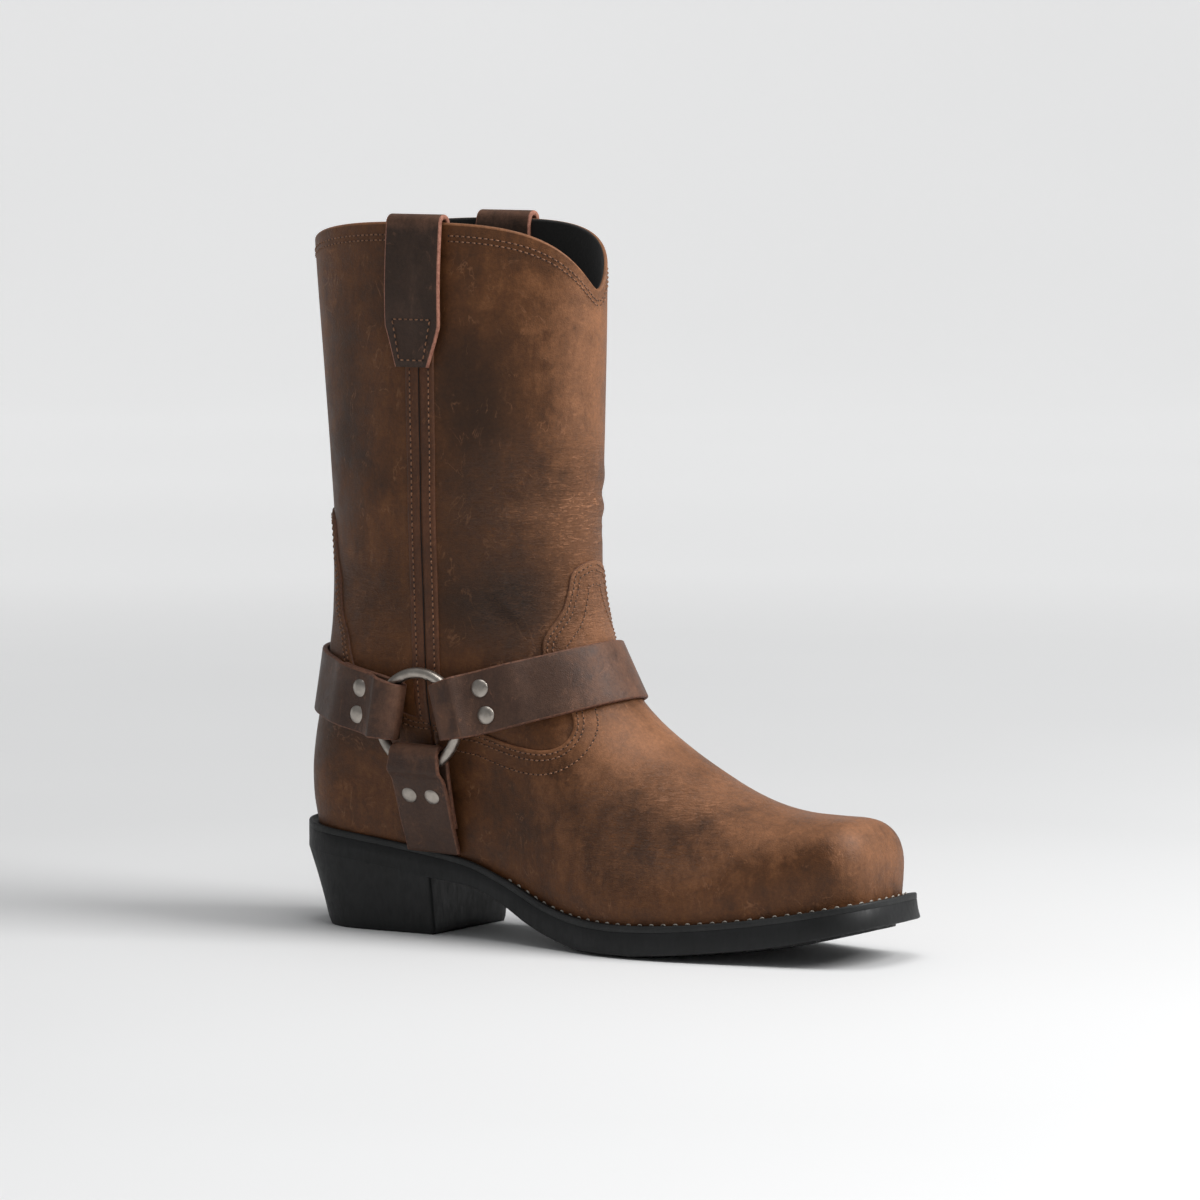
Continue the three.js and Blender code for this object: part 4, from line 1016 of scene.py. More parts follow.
vamp_line = edge_line(vamp_edge, ankle_front, tongue_tip)
counter_line = edge_line(counter_edge, upper_back(counter_tip), counter_tip)


def overlay_depth(x, z, line, toe_way):
    """Distance inside the edge of an overlay in the side view, below 0 outside it."""
    distance, inside, place = nearest_on_line(x, z, line[:, 0], line[:, 1])
    corner = 600 * toe_way
    far = np.array([[corner, line[-1, 1]], [corner, -20]])
    ring = np.concatenate([line, far])
    crossings = np.zeros(np.shape(x), int)
    for (ax, az), (bx, bz) in zip(ring, np.roll(ring, -1, axis=0)):
        if az == bz:
            continue
        spans = (z >= min(az, bz)) & (z < max(az, bz))
        crossings += spans & (x < ax + (z - az) * (bx - ax) / (bz - az))
    return np.where(crossings % 2 == 1, distance, -distance)


def snap(points, depth):
    """Moves the corner nearest to each crossing of an edge onto it, so that the edge runs clean."""
    points = points.copy()
    depth = depth.copy()
    cost = np.full(depth.shape, 9.0)
    goal = points.copy()
    for axis in (0, 1):
        other_points = np.roll(points, -1, axis=axis)
        other_depth = np.roll(depth, -1, axis=axis)
        crossing = depth * other_depth < 0
        if axis == 0:
            crossing[-1] = False
        t = np.where(crossing, depth / np.where(crossing, depth - other_depth, 1), 0)
        meet = points + (other_points - points) * t[..., None]
        for own, near in ((True, t <= 0.5), (False, t > 0.5)):
            chosen = crossing & near
            length = np.linalg.norm(meet - (points if own else other_points), axis=-1)
            spot = meet
            if not own:
                chosen = np.roll(chosen, 1, axis=axis)
                length = np.roll(length, 1, axis=axis)
                spot = np.roll(meet, 1, axis=axis)
            better = chosen & (length < cost)
            cost = np.where(better, length, cost)
            goal = np.where(better[..., None], spot, goal)
    moved = cost < 9
    points[moved] = goal[moved]
    depth[moved] = 0
    return points, depth


def triangles(rows, columns, depths):
    """The rings' faces cut in two, along the edges that pass through their corners."""
    quads = grid_faces(rows, columns, closed=True)
    on_edge = np.zeros(len(quads), bool)
    for depth in depths:
        flat = depth.ravel()[quads]
        on_edge |= (flat[:, 1] == 0) & (flat[:, 3] == 0)
    plain = quads[~on_edge]
    turned = quads[on_edge]
    halves = [plain[:, [0, 1, 2]], plain[:, [0, 2, 3]], turned[:, [1, 2, 3]], turned[:, [1, 3, 0]]]
    return np.concatenate(halves)


def compact(faces):
    used, index = np.unique(faces, return_inverse=True)
    return used, index.reshape(faces.shape)


def border(faces):
    """Directed edges of one face only, in the faces' own direction."""
    edges = np.concatenate([faces[:, [0, 1]], faces[:, [1, 2]], faces[:, [2, 0]]])
    keys = {(a, b) for a, b in edges.tolist()}
    return np.array([(a, b) for a, b in keys if (b, a) not in keys])


def dress_upper():
    shares = ring_shares(upper_rings)
    grid = ring_grid(shares, 0, upper_columns)
    rows = len(shares)
    x, y, z = np.moveaxis(grid, -1, 0)
    depths = []
    for line, way in ((vamp_line, 1), (counter_line, -1)):
        depth = overlay_depth(grid[..., 0], grid[..., 2], line, way)
        grid, depth = snap(grid, depth)
        depths.append(depth)
    outer, outs = lifted(grid, np.zeros(grid.shape[:2]))
    faces = triangles(rows, upper_columns, depths)
    vamp_in, counter_in = (
        (d.ravel()[faces].min(axis=1) >= 0) & (d.ravel()[faces].max(axis=1) > 0) for d in depths
    )
    flat = outer.reshape(-1, 3)
    flat_outs = outs.reshape(-1, 3)
    marks = upper_marks(grid)
    base = faces[~vamp_in & ~counter_in]
    used, index = compact(base)
    add_mesh(
        "upper_shaft",
        flat[used],
        index,
        [upper_leather],
        marks={name: values[used] for name, values in marks.items()},
    )
    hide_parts("upper")
    overlays = (("vamp", vamp_in, depths[0], 0.5), ("counter", counter_in, depths[1], 0.15))
    for name, chosen, depth, edge_rub in overlays:
        part = faces[chosen]
        used, index = compact(part)
        near_edge = np.exp(-((depth.ravel()[used] / 1.6) ** 2))
        raised = flat[used] + flat_outs[used] * (overlay_thickness - 0.3 * (depth.ravel()[used] == 0))[:, None]
        sunk = flat[used] - 0.3 * flat_outs[used]
        n = len(used)
        edges = border(index)
        on_line = depth.ravel()[used][edges].max(axis=1) == 0
        edges = edges[on_line]
        skirt = np.stack([edges[:, 1], edges[:, 0], edges[:, 0] + n], axis=1)
        skirt_low = np.stack([edges[:, 1], edges[:, 0] + n, edges[:, 1] + n], axis=1)
        part_marks = {key: np.tile(values[used], 2) for key, values in marks.items()}
        part_marks["wear_and_highlight"] = np.clip(part_marks["wear_and_highlight"] + edge_rub * np.tile(near_edge, 2), 0, 1)
        add_mesh(
            name,
            np.concatenate([raised, sunk]),
            np.concatenate([index, skirt, skirt_low]),
            [upper_leather, leather_edge],
            marks=part_marks,
            face_marks=np.concatenate([np.zeros(len(index)), np.ones(2 * len(skirt))]),
        )
    return outer[-1], outs[-1]


collar_ring, collar_outs = dress_upper()


def dress_collar():
    """The rolled top edge with the lining's dark turn inside it, and the lining down to the insole."""
    inner = ring_grid(np.array([1.0]), -upper_wall, upper_columns)[0]
    middle = (collar_ring + inner) / 2
    half = (collar_ring - inner) / 2
    up = np.array([0, 0, 1])
    angles = np.linspace(0, math.pi, 9)
    rim = np.stack([middle + half * math.cos(a) + up * 1.1 * math.sin(a) for a in angles])
    faces = grid_faces(9, upper_columns, closed=True)
    strip = np.arange(len(faces)) // upper_columns
    marks = {name: np.zeros(rim.size // 3) for name in ("wear_and_highlight", "shade", "crease")}
    marks["wear_and_highlight"] += 0.55
    add_mesh(
        "collar_edge",
        rim.reshape(-1, 3),
        faces,
        [upper_leather, lining],
        marks=marks,
        face_marks=(strip >= 5).astype(int),
    )
    shares = np.linspace(0.02, 1, lining_rings)
    grid = ring_grid(shares, -upper_wall, lining_columns)
    faces = grid_faces(lining_rings, lining_columns, closed=True, flip=True)
    add_mesh("lining", grid.reshape(-1, 3), faces, [lining])


dress_collar()


# Straps
def band(name, stations, thickness, materials, marks=None):
    """A strap of leather with rounded edges, through stations of middle, across, out and half width."""
    middle, across, out, half = stations
    r = min(0.8, thickness / 2 - 0.05)
    corner = np.linspace(0, math.pi / 2, 4)
    profile = []
    for u in np.linspace(-1, 1, 9):
        profile.append((u, 0, 0, thickness / 2))
    for a in corner[::-1][1:]:
        profile.append((1, 0, r * math.cos(a), thickness / 2 - r + r * math.sin(a)))
    for a in corner:
        profile.append((1, 0, r * math.cos(a), -thickness / 2 + r - r * math.sin(a)))
    for u in np.linspace(1, -1, 9)[1:]:
        profile.append((u, 0, 0, -thickness / 2))
    for a in corner[::-1][1:]:
        profile.append((-1, 0, -r * math.cos(a), -thickness / 2 + r - r * math.sin(a)))
    for a in corner[:-1]:
        profile.append((-1, 0, -r * math.cos(a), thickness / 2 - r + r * math.sin(a)))
    u, _, side, height = np.array(profile).T
    reach = (half[:, None] - r) * u + side
    points = middle[:, None] + across[:, None] * reach[..., None] + out[:, None] * height[None, :, None]
    columns = len(profile)
    faces = grid_faces(len(middle), columns, closed=True)
    place = np.arange(len(faces)) % columns
    edge = ((place >= 8) & (place < 15)) | (place >= columns - 7)
    last = (len(middle) - 1) * columns
    ends = [list(range(columns))[::-1], [last + i for i in range(columns)]]
    made = add_mesh(
        name,
        points.reshape(-1, 3),
        [*faces, *ends],
        materials,
        marks={
            "wear_and_highlight": np.zeros(points.size // 3) if marks is None else np.repeat(marks, columns),
            "shade": np.zeros(points.size // 3),
            "crease": np.zeros(points.size // 3),
        },
        face_marks=np.concatenate([edge.astype(int), [1, 1]]),
    )
    return made


def fine(stations, step):
    """Stations spaced closely along the smooth course through the given ones."""
    middle, across, out, half = stations
    reach = np.concatenate([[0], np.cumsum(np.linalg.norm(np.diff(middle, axis=0), axis=1))])
    goal = np.linspace(0, reach[-1], max(2, int(reach[-1] / step)) + 1)
    goal = np.unique(np.concatenate([goal, reach]))
    parts = []
    for values in (middle, across, out, half[:, None]):
        rows = {"at": reach, **{str(k): values[:, k] for k in range(values.shape[1])}}
        parts.append(np.stack([along(rows, goal, str(k)) for k in range(values.shape[1])], axis=1))
    return parts[0], unit(parts[1]), unit(parts[2]), parts[3][:, 0]


def eased(stations, length):
    """Stations smoothed along the strap over a length, but not round the rings."""
    middle, across, out, half = stations
    reach = np.concatenate([[0], np.cumsum(np.linalg.norm(np.diff(middle, axis=0), axis=1))])
    away = np.min([np.linalg.norm(middle - centre, axis=1) for centre, _ in ring_places.values()], axis=0)
    share = smoothstep(wire_circle + 2, wire_circle + 9, away)[:, None]
    at = np.concatenate([-reach[:0:-1], reach, 2 * reach[-1] - reach[-2::-1]])
    pull = np.exp(-(((reach[:, None] - at) / length) ** 2))
    pull *= np.gradient(at)
    pull /= pull.sum(axis=1, keepdims=True)
    parts = []
    for values in (middle, across, out, half[:, None]):
        row = np.concatenate([2 * values[0] - values[:0:-1], values, 2 * values[-1] - values[-2::-1]])
        parts.append(mix(values, pull @ row, share))
    return parts[0], unit(parts[1]), unit(parts[2]), parts[3][:, 0]


def surface_line(x, z, angle, side, length, grow):
    dx, dz = math.cos(angle), math.sin(angle)
    outside = lambda far: rounding(np.array([x + far * dx]), np.array([z + far * dz]), grow)[0][0] >= 1
    far = length
    if outside(far):
        near = 0
        for _ in range(36):
            middle = (near + far) / 2
            if outside(middle):
                far = middle
            else:
                near = middle
    reach = far * (1 - (1 - np.linspace(0, 1, 281)) ** 3)
    px, pz = x + reach * dx, z + reach * dz
    return np.stack([px, side * upper_half(px, pz, side, grow), pz], axis=1)


def walk(line, length):
    step = np.diff(line, axis=0)
    reach = np.concatenate([[0], np.cumsum(np.linalg.norm(step, axis=1))])
    i = int(np.clip(np.searchsorted(reach, length, side="right") - 1, 0, len(step) - 1))
    heading = unit(step[i])
    return line[i] + heading * (length - reach[i]), heading


def length_of(line):
    return float(np.sum(np.linalg.norm(np.diff(line, axis=0), axis=1)))


def clear_lift(middle, across, normal, half, depth):
    """Lift that a straight strap needs so that its whole width lies a depth or more above the boot."""
    lift = 0.0
    shares = np.array([-1, -0.5, 0, 0.5, 1])[:, None]
    while lift < 12:
        probes = middle + across * shares * half + normal * (lift - depth)
        if not (level(probes, overlay_thickness) < 0).any():
            return lift
        lift += 0.2
    return lift


wire_circle = (ring_inner_diameter + ring_wire) / 2
ring_lift = lay_gap + strap_thickness + fold_clearance + ring_wire / 2
fold_radius = ring_wire / 2 + fold_clearance + strap_thickness / 2
lay_height = lay_gap + strap_thickness / 2
doubled_height = lay_height + strap_thickness + 0.05
over_ring = ring_lift + fold_radius
rivet_flat = [rivet_from_ring - 4.4, rivet_from_ring + 4.4]


def ring_place(side):
    half = upper_half(np.array([ring_along]), np.array([ring_height]), side, overlay_thickness)[0]
    foot = np.array([ring_along, side * half, ring_height])
    out = outward(foot[None], overlay_thickness)[0]
    out[2] = 0
    out = unit(out)
    level_way = np.cross([0, 0, 1], out)
    stand_off = 0.0
    for k in range(16):
        angle = k * math.pi / 8
        rim = level_way * math.cos(angle) + np.array([0, 0, math.sin(angle)])
        point = foot + rim * (wire_circle + ring_wire / 2)
        stand_off = max(stand_off, clear_lift(point, np.zeros(3), out, 0, 0))
    return foot + out * (stand_off + ring_lift), out


ring_places = {side: ring_place(side) for side in (-1, 1)}


def fold_centre(shift):
    chord = math.sqrt((ring_inner_diameter / 2) ** 2 - (strap_fold_width / 2 + abs(shift)) ** 2)
    return chord - fold_clearance + fold_radius - strap_thickness / 2


def strap_station(line, side, settle_at, start, height, angle):
    centre, facing = ring_places[side]
    point, heading = walk(line, max(start, 0))
    out = outward(point[None], overlay_thickness)[0]
    on_boot = point + out * height
    flat = walk(line, 1)[1]
    flat = unit(flat - facing * np.dot(flat, facing))
    flat_across = unit(np.cross(facing, flat))
    offset = np.dot(line[0] - centre, flat_across)
    in_plane = centre + facing * (height - ring_lift) + flat * start + flat_across * offset
    t = float(smoothstep(wire_circle, settle_at, start))
    normal = unit(mix(facing, out, t))
    course = mix(flat, heading, t)
    across = unit(np.cross(normal, course))
    lead = np.cross(across, normal)
    face = -normal * math.cos(angle) - lead * math.sin(angle)
    middle = mix(in_plane, on_boot, t)
    half = mix(strap_fold_width, strap_width, float(smoothstep(wire_circle / 2, 1.3 * wire_circle, start))) / 2
    middle = middle + normal * clear_lift(middle, across, normal, half, min(height, doubled_height))
    return middle, across, face, half


def strap_end(line, side, shift, settle_at, until):
    fold = fold_centre(shift)
    tail_end = fold + strap_tail
    wire_edge = wire_circle + ring_wire / 2
    beyond = (tail_end + rivet_flat[1]) / 2
    rows = [(p, lay_height, 0) for p in (tail_end, beyond, rivet_flat[1], rivet_flat[0], wire_edge - ring_wire)]
    for degrees in range(0, 181, 15):
        angle = math.radians(degrees)
        rows.append((fold - fold_radius * math.sin(angle), ring_lift - fold_radius * math.cos(angle), angle))
    lay = table(
        "at height",
        (fold + 2, over_ring),
        (wire_edge - 0.5, over_ring),
        (wire_edge + 2.5, mix(doubled_height, over_ring, 0.55)),
        (rivet_flat[0], doubled_height),
        (rivet_flat[1], doubled_height),
        (beyond, doubled_height),
        (tail_end + 1, doubled_height),
        (tail_end + 5, mix(lay_height, doubled_height, 0.15)),
        (tail_end + 9, lay_height),
    )
    places = [p for p in lay["at"] if p < until]
    count = math.ceil((until - places[-1]) / 4)
    places += [mix(places[-1], until, i / count) for i in range(1, count + 1)]
    rows += [(p, float(along(lay, p, "height")), math.pi) for p in places]
    stations = [strap_station(line, side, settle_at, *row) for row in rows]
    near, far = (stations[len(rows) - len(places) + places.index(p)] for p in rivet_flat)
    tangent = unit(far[0] - near[0])
    across = unit(near[1] + far[1])
    normal = unit(np.cross(tangent, across))
    if np.dot(normal, ring_places[side][1]) < 0:
        normal = -normal
    return stations, ((near[0] + far[0]) / 2, across, normal)


def stack(stations):
    return [np.array(part, float) for part in zip(*stations)]


def strap_wear_and_highlight(stations, seats):
    """Lighter at the fold over the ring, where the leather bends hardest, and a painted highlight where the strap
    crosses the boot's front.
    """
    middle = stations[0]
    wear_and_highlight = np.zeros(len(middle))
    for centre, _ in ring_places.values():
        distance = np.linalg.norm(middle - centre, axis=1)
        wear_and_highlight += 0.6 * np.exp(-((distance / 17) ** 2))
    # Painted highlight on the part of the strap over the boot's front.
    front = smoothstep(0.47 * sole_length, 0.56 * sole_length, middle[:, 0])
    return np.clip(wear_and_highlight + 0.45 * front, 0, 1)


rivet_seats = {}


def joining_strap(name, degrees, forward):
    rise = math.radians(degrees)
    angle = rise if forward > 0 else math.pi - rise
    x = ring_along - side_strap_shift * math.sin(rise) * forward
    z = ring_height + side_strap_shift * math.cos(rise)
    halves = []
    for side in (-1, 1):
        line = surface_line(x, z, angle, side, sole_length / 2, overlay_thickness)
        until = length_of(line) - 0.01
        halves.append(strap_end(line, side, side_strap_shift, side_strap_settle, until))
    lateral, medial = halves[0][0], halves[1][0]
    turned = [(m, -a, o, h) for m, a, o, h in reversed(medial[:-1])]
    stations = eased(fine(stack(lateral + turned), strap_step), strap_ease)
    rivet_seats[name] = [halves[0][1], halves[1][1]]
    made = band(name + "_leather", stations, strap_thickness, [strap_leather, leather_edge],
                strap_wear_and_highlight(stations, None))
    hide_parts(name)


def under_strap(name, side):
    angle = -math.pi / 2 - math.radians(under_strap_lean)
    length = ring_height - float(seat(ring_along)) - gap
    line = surface_line(ring_along, ring_height, angle, side, length, overlay_thickness)
    stations, seat_at = strap_end(line, side, 0, under_strap_settle, length_of(line) - 0.01)
    stations = eased(fine(stack(stations), strap_step), under_strap_ease)
    rivet_seats[name] = [seat_at]
    made = band(name + "_leather", stations, strap_thickness, [strap_leather, leather_edge],
                strap_wear_and_highlight(stations, None))
    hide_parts(name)


joining_strap("instep_strap", instep_strap_rise, 1)
joining_strap("heel_strap", heel_strap_rise, -1)
under_strap("under_lateral_strap", -1)
under_strap("under_medial_strap", 1)


def turned_points(profile, centre, axis, count):
    """A profile of radius and height turned about an axis."""
    first = unit(np.cross(axis, [0.2, 0.1, 0.97]))
    second = np.cross(axis, first)
    angle = np.linspace(0, 2 * math.pi, count, endpoint=False)
    around = first * np.cos(angle)[:, None] + second * np.sin(angle)[:, None]
    radius, height = np.array(profile, float).T
    return centre + around[None] * radius[:, None, None] + axis * height[:, None, None]


def rivets():
    """Domed rivet caps pressed into the leather, with a narrow flange."""
    r = rivet_head / 2
    shares = np.array([0.01, 0.2, 0.4, 0.58, 0.72, 0.82, 0.9, 0.95])
    profile = [(r * share, 0.2 + (rivet_crown - 0.5) * (1 - share**3.2)) for share in shares]
    profile += [(r * 0.98, 0.3), (r, 0.15), (r + 0.1, -0.1), (r, -0.5)]
    for name, seats in rivet_seats.items():
        nodes = "rivet_" + name.replace("_strap", "")
        number = 0
        for middle, across, normal in seats:
            for way in (-1, 1):
                number += 1
                head = middle + across * way * rivet_spacing / 2 + normal * strap_thickness / 2
                points = turned_points(profile, head, normal, 28)
                faces = grid_faces(len(profile), 28, closed=True, flip=True)
                made = add_mesh(f"{nodes}_{number}_cap", points.reshape(-1, 3), faces, [nickel])
                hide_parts(f"{nodes}_{number}")


rivets()


def rings():
    for name, side in (("ring_lateral", -1), ("ring_medial", 1)):
        centre, out = ring_places[side]
        first = unit(np.cross([0, 0, 1], out))
        up = np.cross(out, first)
        angle = np.linspace(0, 2 * math.pi, 120, endpoint=False)
        round_wire = np.linspace(0, 2 * math.pi, 24, endpoint=False)
        way = first * np.cos(angle)[:, None] + up * np.sin(angle)[:, None]
        reach = wire_circle + ring_wire / 2 * np.cos(round_wire)
        lift = ring_wire / 2 * np.sin(round_wire)
        points = centre + way[:, None] * reach[None, :, None] + out * lift[None, :, None]
        points = np.concatenate([points, points[:1]])
        faces = grid_faces(121, 24, closed=True)
        faces = np.where(faces >= 120 * 24, faces - 120 * 24, faces)
        made = add_mesh(name + "_wire", points[:-1].reshape(-1, 3), faces, [nickel])
        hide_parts(name)


rings()


def side_seams():
    """Two turned edges of leather down each side, meeting in a groove whose near-black finish is painted shade."""
    u = np.array([-7.5, -7.4, -7.0, -6.2, -4.6, -3, -1.6, -0.9, -0.55, -0.3, 0.3, 0.55, 0.9, 1.6, 3, 4.6, 6.2, 7.0, 7.4, 7.5])
    lift = np.array([-0.3, 0.5, 0.85, 1, 0.95, 1, 1.1, 1.0, 0.6, -0.1, -0.1, 0.6, 1.0, 1.1, 1, 0.95, 1, 0.85, 0.5, -0.3])
    rows = 150
    share = np.linspace(0, 1, rows)
    z = mix(seam_top, seam_foot - 6, share)
    x = mix(seam_top_along, seam_foot_along, share)
    for name, side in (("side_seam_lateral", -1), ("side_seam_medial", 1)):
        points, outs = skin(x[:, None] + u[None], z[:, None] + 0 * u[None], side, lift[None] + 0 * z[:, None])
        faces = grid_faces(rows, len(u), flip=side > 0)
        column = np.arange(len(faces)) % (len(u) - 1)
        # The groove's middle columns take the near-black finish: painted shade.
        dark = (column >= 8) & (column <= 10)
        made = add_mesh(name + "_piping", points.reshape(-1, 3), faces, [seam_leather, painted_shade_groove],
                        face_marks=dark.astype(int))
        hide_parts(name)


side_seams()


def pull_stations(side):
    out_lift = gap + seam_thickness + gap + pull_thickness / 2
    x = seam_top_along
    z = np.linspace(pull_foot, collar_height, 22)
    base = np.stack([np.full(22, float(x)), side * upper_half(np.full(22, float(x)), z, side, 0), z], axis=1)
    outs = outward(base, 0)
    half = mix(pull_foot_width, pull_width, np.clip((z - pull_foot) / pull_taper, 0, 1)) / 2
    bow = 1.3 * np.sin(np.clip((z - pull_foot - 14) / (collar_height - pull_foot - 14), 0, 1) * math.pi)
    along_x = np.array([1.0, 0, 0])
    stations = [
        (p + o * (out_lift + b), along_x, o, h) for p, o, b, h in zip(base, outs, bow, half)
    ]
    over = (upper_wall + 3 * gap + seam_thickness + pull_thickness) / 2
    crown = base[-1] + outs[-1] * (out_lift - over)
    up = np.array([0, 0, 1.0])
    for degrees in range(15, 180, 15):
        angle = math.radians(degrees)
        out = outs[-1] * math.cos(angle) + up * math.sin(angle)
        stations.append((crown + out * over + up * gap, along_x, out, pull_width / 2))
    for z_in in np.linspace(collar_height - 2, collar_height - pull_inside, 8):
        edge = upper_half(np.array([x - pull_width / 2]), np.array([z_in]), side, -upper_wall)[0]
        middle = np.array([x, side * (edge - gap - pull_thickness / 2 - 0.3), z_in])
        stations.append((middle, along_x, np.array([0, -side, 0.0]), pull_width / 2))
    return stack(stations)


sewn = Sewing("leather_stitching", tan_thread, "upper_leather", 2.75, 0.66, 0.36)
on_upper = lambda points: outward(settle(points, 0), 0)

for pull_name, pull_side in (("pull_strap_lateral", -1), ("pull_strap_medial", 1)):
    pull = pull_stations(pull_side)
    wear_and_highlight = 0.35 * smoothstep(collar_height - 6, collar_height + 2, pull[0][:, 2])
    made = band(pull_name + "_leather", pull, pull_thickness, [pull_leather, pull_edge], wear_and_highlight)
    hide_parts(pull_name)
    box_rows = table("height half", (4.6, 6.6), (22.5, 10.4))
    corners = []
    for height, half in zip(box_rows["height"], box_rows["half"]):
        z_at = pull_foot + height
        i = int(np.argmin(np.abs(pull[0][:22, 2] - z_at)))
        surface = pull[0][i] + pull[2][i] * pull_thickness / 2
        corners.append([surface + pull[1][i] * half, surface - pull[1][i] * half])
    out = pull[2][2]
    for a, b in ((corners[0][0], corners[0][1]), (corners[1][1], corners[1][0])):
        sewn.row([a, b], lambda points, out=out: np.tile(out, (len(points), 1)))
    for a, b in ((corners[0][1], corners[1][1]), (corners[1][0], corners[0][0])):
        sewn.row([a, b], lambda points, out=out: np.tile(out, (len(points), 1)))


def inside_edge(line, side, inset, lift):
    """Points along an overlay's edge on the leather, with the way out of it, along the edge and across it."""
    line = line[1:]
    x, z = line[:, 0], line[:, 1]
    total = rounding(x, z, 0)[0]
    keep = total < 0.9995
    x, z = x[keep], z[keep]
    edge = np.stack([x, side * upper_half(x, z, side, 0), z], axis=1)
    edge = spread(edge, max(8, int(length_of(edge) / 1.2)), 0)
    edge = settle(edge, 0)
    out = outward(edge, 0)
    heading = unit(np.gradient(edge, axis=0))
    way = unit(np.cross(out, heading))
    probe = edge + way * 0.5
    return edge, out, heading, way


def overlay_rows(line, toe_way, insets):
    for side in (-1, 1):
        edge, out, heading, way = inside_edge(line, side, 0, 0)
        test = edge + way * 2
        inner = overlay_depth(test[:, 0], test[:, 2], line, toe_way)
        sign = 1 if np.median(inner) > 0 else -1
        for inset in insets:
            row = settle(edge + sign * way * inset, 0)
            depth = overlay_depth(row[:, 0], row[:, 2], line, toe_way)
            distance = np.min(np.linalg.norm(row[:, None] - edge[None], axis=2), axis=1)
            keep = (depth > 0) & (distance > 0.86 * inset) & (side * row[:, 1] > 0.3)
            keep &= row[:, 2] > seat(row[:, 0]) + 4
            row = row[keep]
            if len(row) < 4:
                continue
            breaks = np.flatnonzero(np.linalg.norm(np.diff(row, axis=0), axis=1) > 5) + 1
            for piece in np.split(row, breaks):
                if len(piece) > 3:
                    path, _ = lifted(piece, np.full(len(piece), overlay_thickness))
                    sewn.row(path, on_upper)


overlay_rows(vamp_line, 1, (2.1, 4.6, 11))
overlay_rows(counter_line, -1, (2.1, 4.6))


def collar_rows():
    for drop in (4.8, 7.3):
        for side in (-1, 1):
            back = ring_end(np.array([1.0]), 0, -20)[0]
            front = ring_end(np.array([1.0]), 0, upper_front)[0]
            t = np.linspace(0, 1, 200)
            x = mix(back, front, (1 - np.cos(t * math.pi)) / 2)
            z = collar_line(x) - drop
            total = rounding(x, z, 0)[0]
            x, z = x[total < 1], z[total < 1]
            path, _ = skin(x, z, side, np.zeros(len(x)))
            away = np.abs(path[:, 0] - seam_top_along) > pull_width / 2 + 1
            for part in (path[away & (path[:, 0] < seam_top_along)], path[away & (path[:, 0] > seam_top_along)]):
                sewn.row(part, on_upper)


collar_rows()


def seam_rows():
    share = np.linspace(0, 1, 120)
    z = mix(pull_foot - 1, seam_foot - 4, share)
    x = mix(seam_top_along, seam_foot_along, (seam_top - z) / (seam_top - seam_foot))
    for side in (-1, 1):
        for offset in (-4.9, 4.9):
            path, _ = skin(x + offset, z, side, np.full(len(z), 0.98))
            sewn.row(path, on_upper)


seam_rows()
sewn.finish()


# Welt, sole and heel
def plan_loop(inset, heel_inset, toe_inset, count=outline_points):
    """The sole's plan taken in by an inset, evenly spaced: outer side first, from the heel."""
    t = (1 - np.cos(np.linspace(0, math.pi, 700))) / 2
    x = mix(heel_inset, sole_length - toe_inset, t)
    loop = []
    for side in (-1, 1):
        amount = inset(x) if callable(inset) else inset
        y = side * plan_half(x, side, amount, heel_inset, toe_inset)
        half = spread(np.stack([x, y], axis=1), count // 2, 14)
        loop.append(half if side < 0 else half[-2:0:-1])
    return np.concatenate(loop)


def swept(name, rows, material_list, node_name, closed_ends=(True, True)):
    """A piece through loops of the plan, from its lowest row to its highest."""
    loops = []
    for inset, height in rows:
        heel_inset = inset if not callable(inset) else float(inset(np.array(0.0)))
        toe_inset = inset if not callable(inset) else float(inset(np.array(float(sole_length))))
        loop = plan_loop(inset, heel_inset, toe_inset)
        z = height(loop[:, 0]) if callable(height) else np.full(len(loop), float(height))
        loops.append(np.column_stack([loop, z]))
    points = np.array(loops)
    rows_count, columns = points.shape[:2]
    faces = [list(f) for f in grid_faces(rows_count, columns, closed=True)]
    half = columns // 2
    for base, closed, flip in ((0, closed_ends[0], True), ((rows_count - 1) * columns, closed_ends[1], False)):
        if not closed:
            continue
        for i in range(half):
            quad = [base + i, base + i + 1, base + (columns - i - 1) % columns, base + (columns - i) % columns]
            quad = list(dict.fromkeys(quad))
            faces.append(quad[::-1] if flip else quad)
    made = add_mesh(name, points.reshape(-1, 3), faces, material_list)
    if node_name:
        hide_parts(node_name)
    return made


def flat_shaded_ends(piece):
    for polygon in piece.data.polygons:
        if abs(polygon.normal.z) > 0.9:
            polygon.use_smooth = False


groove_share = lambda x: 0.4 + 0.6 * smoothstep(0.5 * sole_length, 0.3 * sole_length, x)
welt_low = lambda x: seat(x) - welt_thickness
welt_rows = [
    (lambda x: ledge(x) + 5, welt_low),
    (0.12, welt_low),
    (0, lambda x: seat(x) - welt_thickness + 0.12),
    (0, lambda x: seat(x) - 0.8),
    (0.22, lambda x: seat(x) - 0.25),
    (0.8, seat),
    (1.5, lambda x: seat(x) - 0.05),
    (2.1, lambda x: seat(x) - 0.9 * groove_share(x)),
    (lambda x: ledge(x) + 5, seat),
]
swept("welt_strip", welt_rows, [welt_rubber], "welt", (False, False))

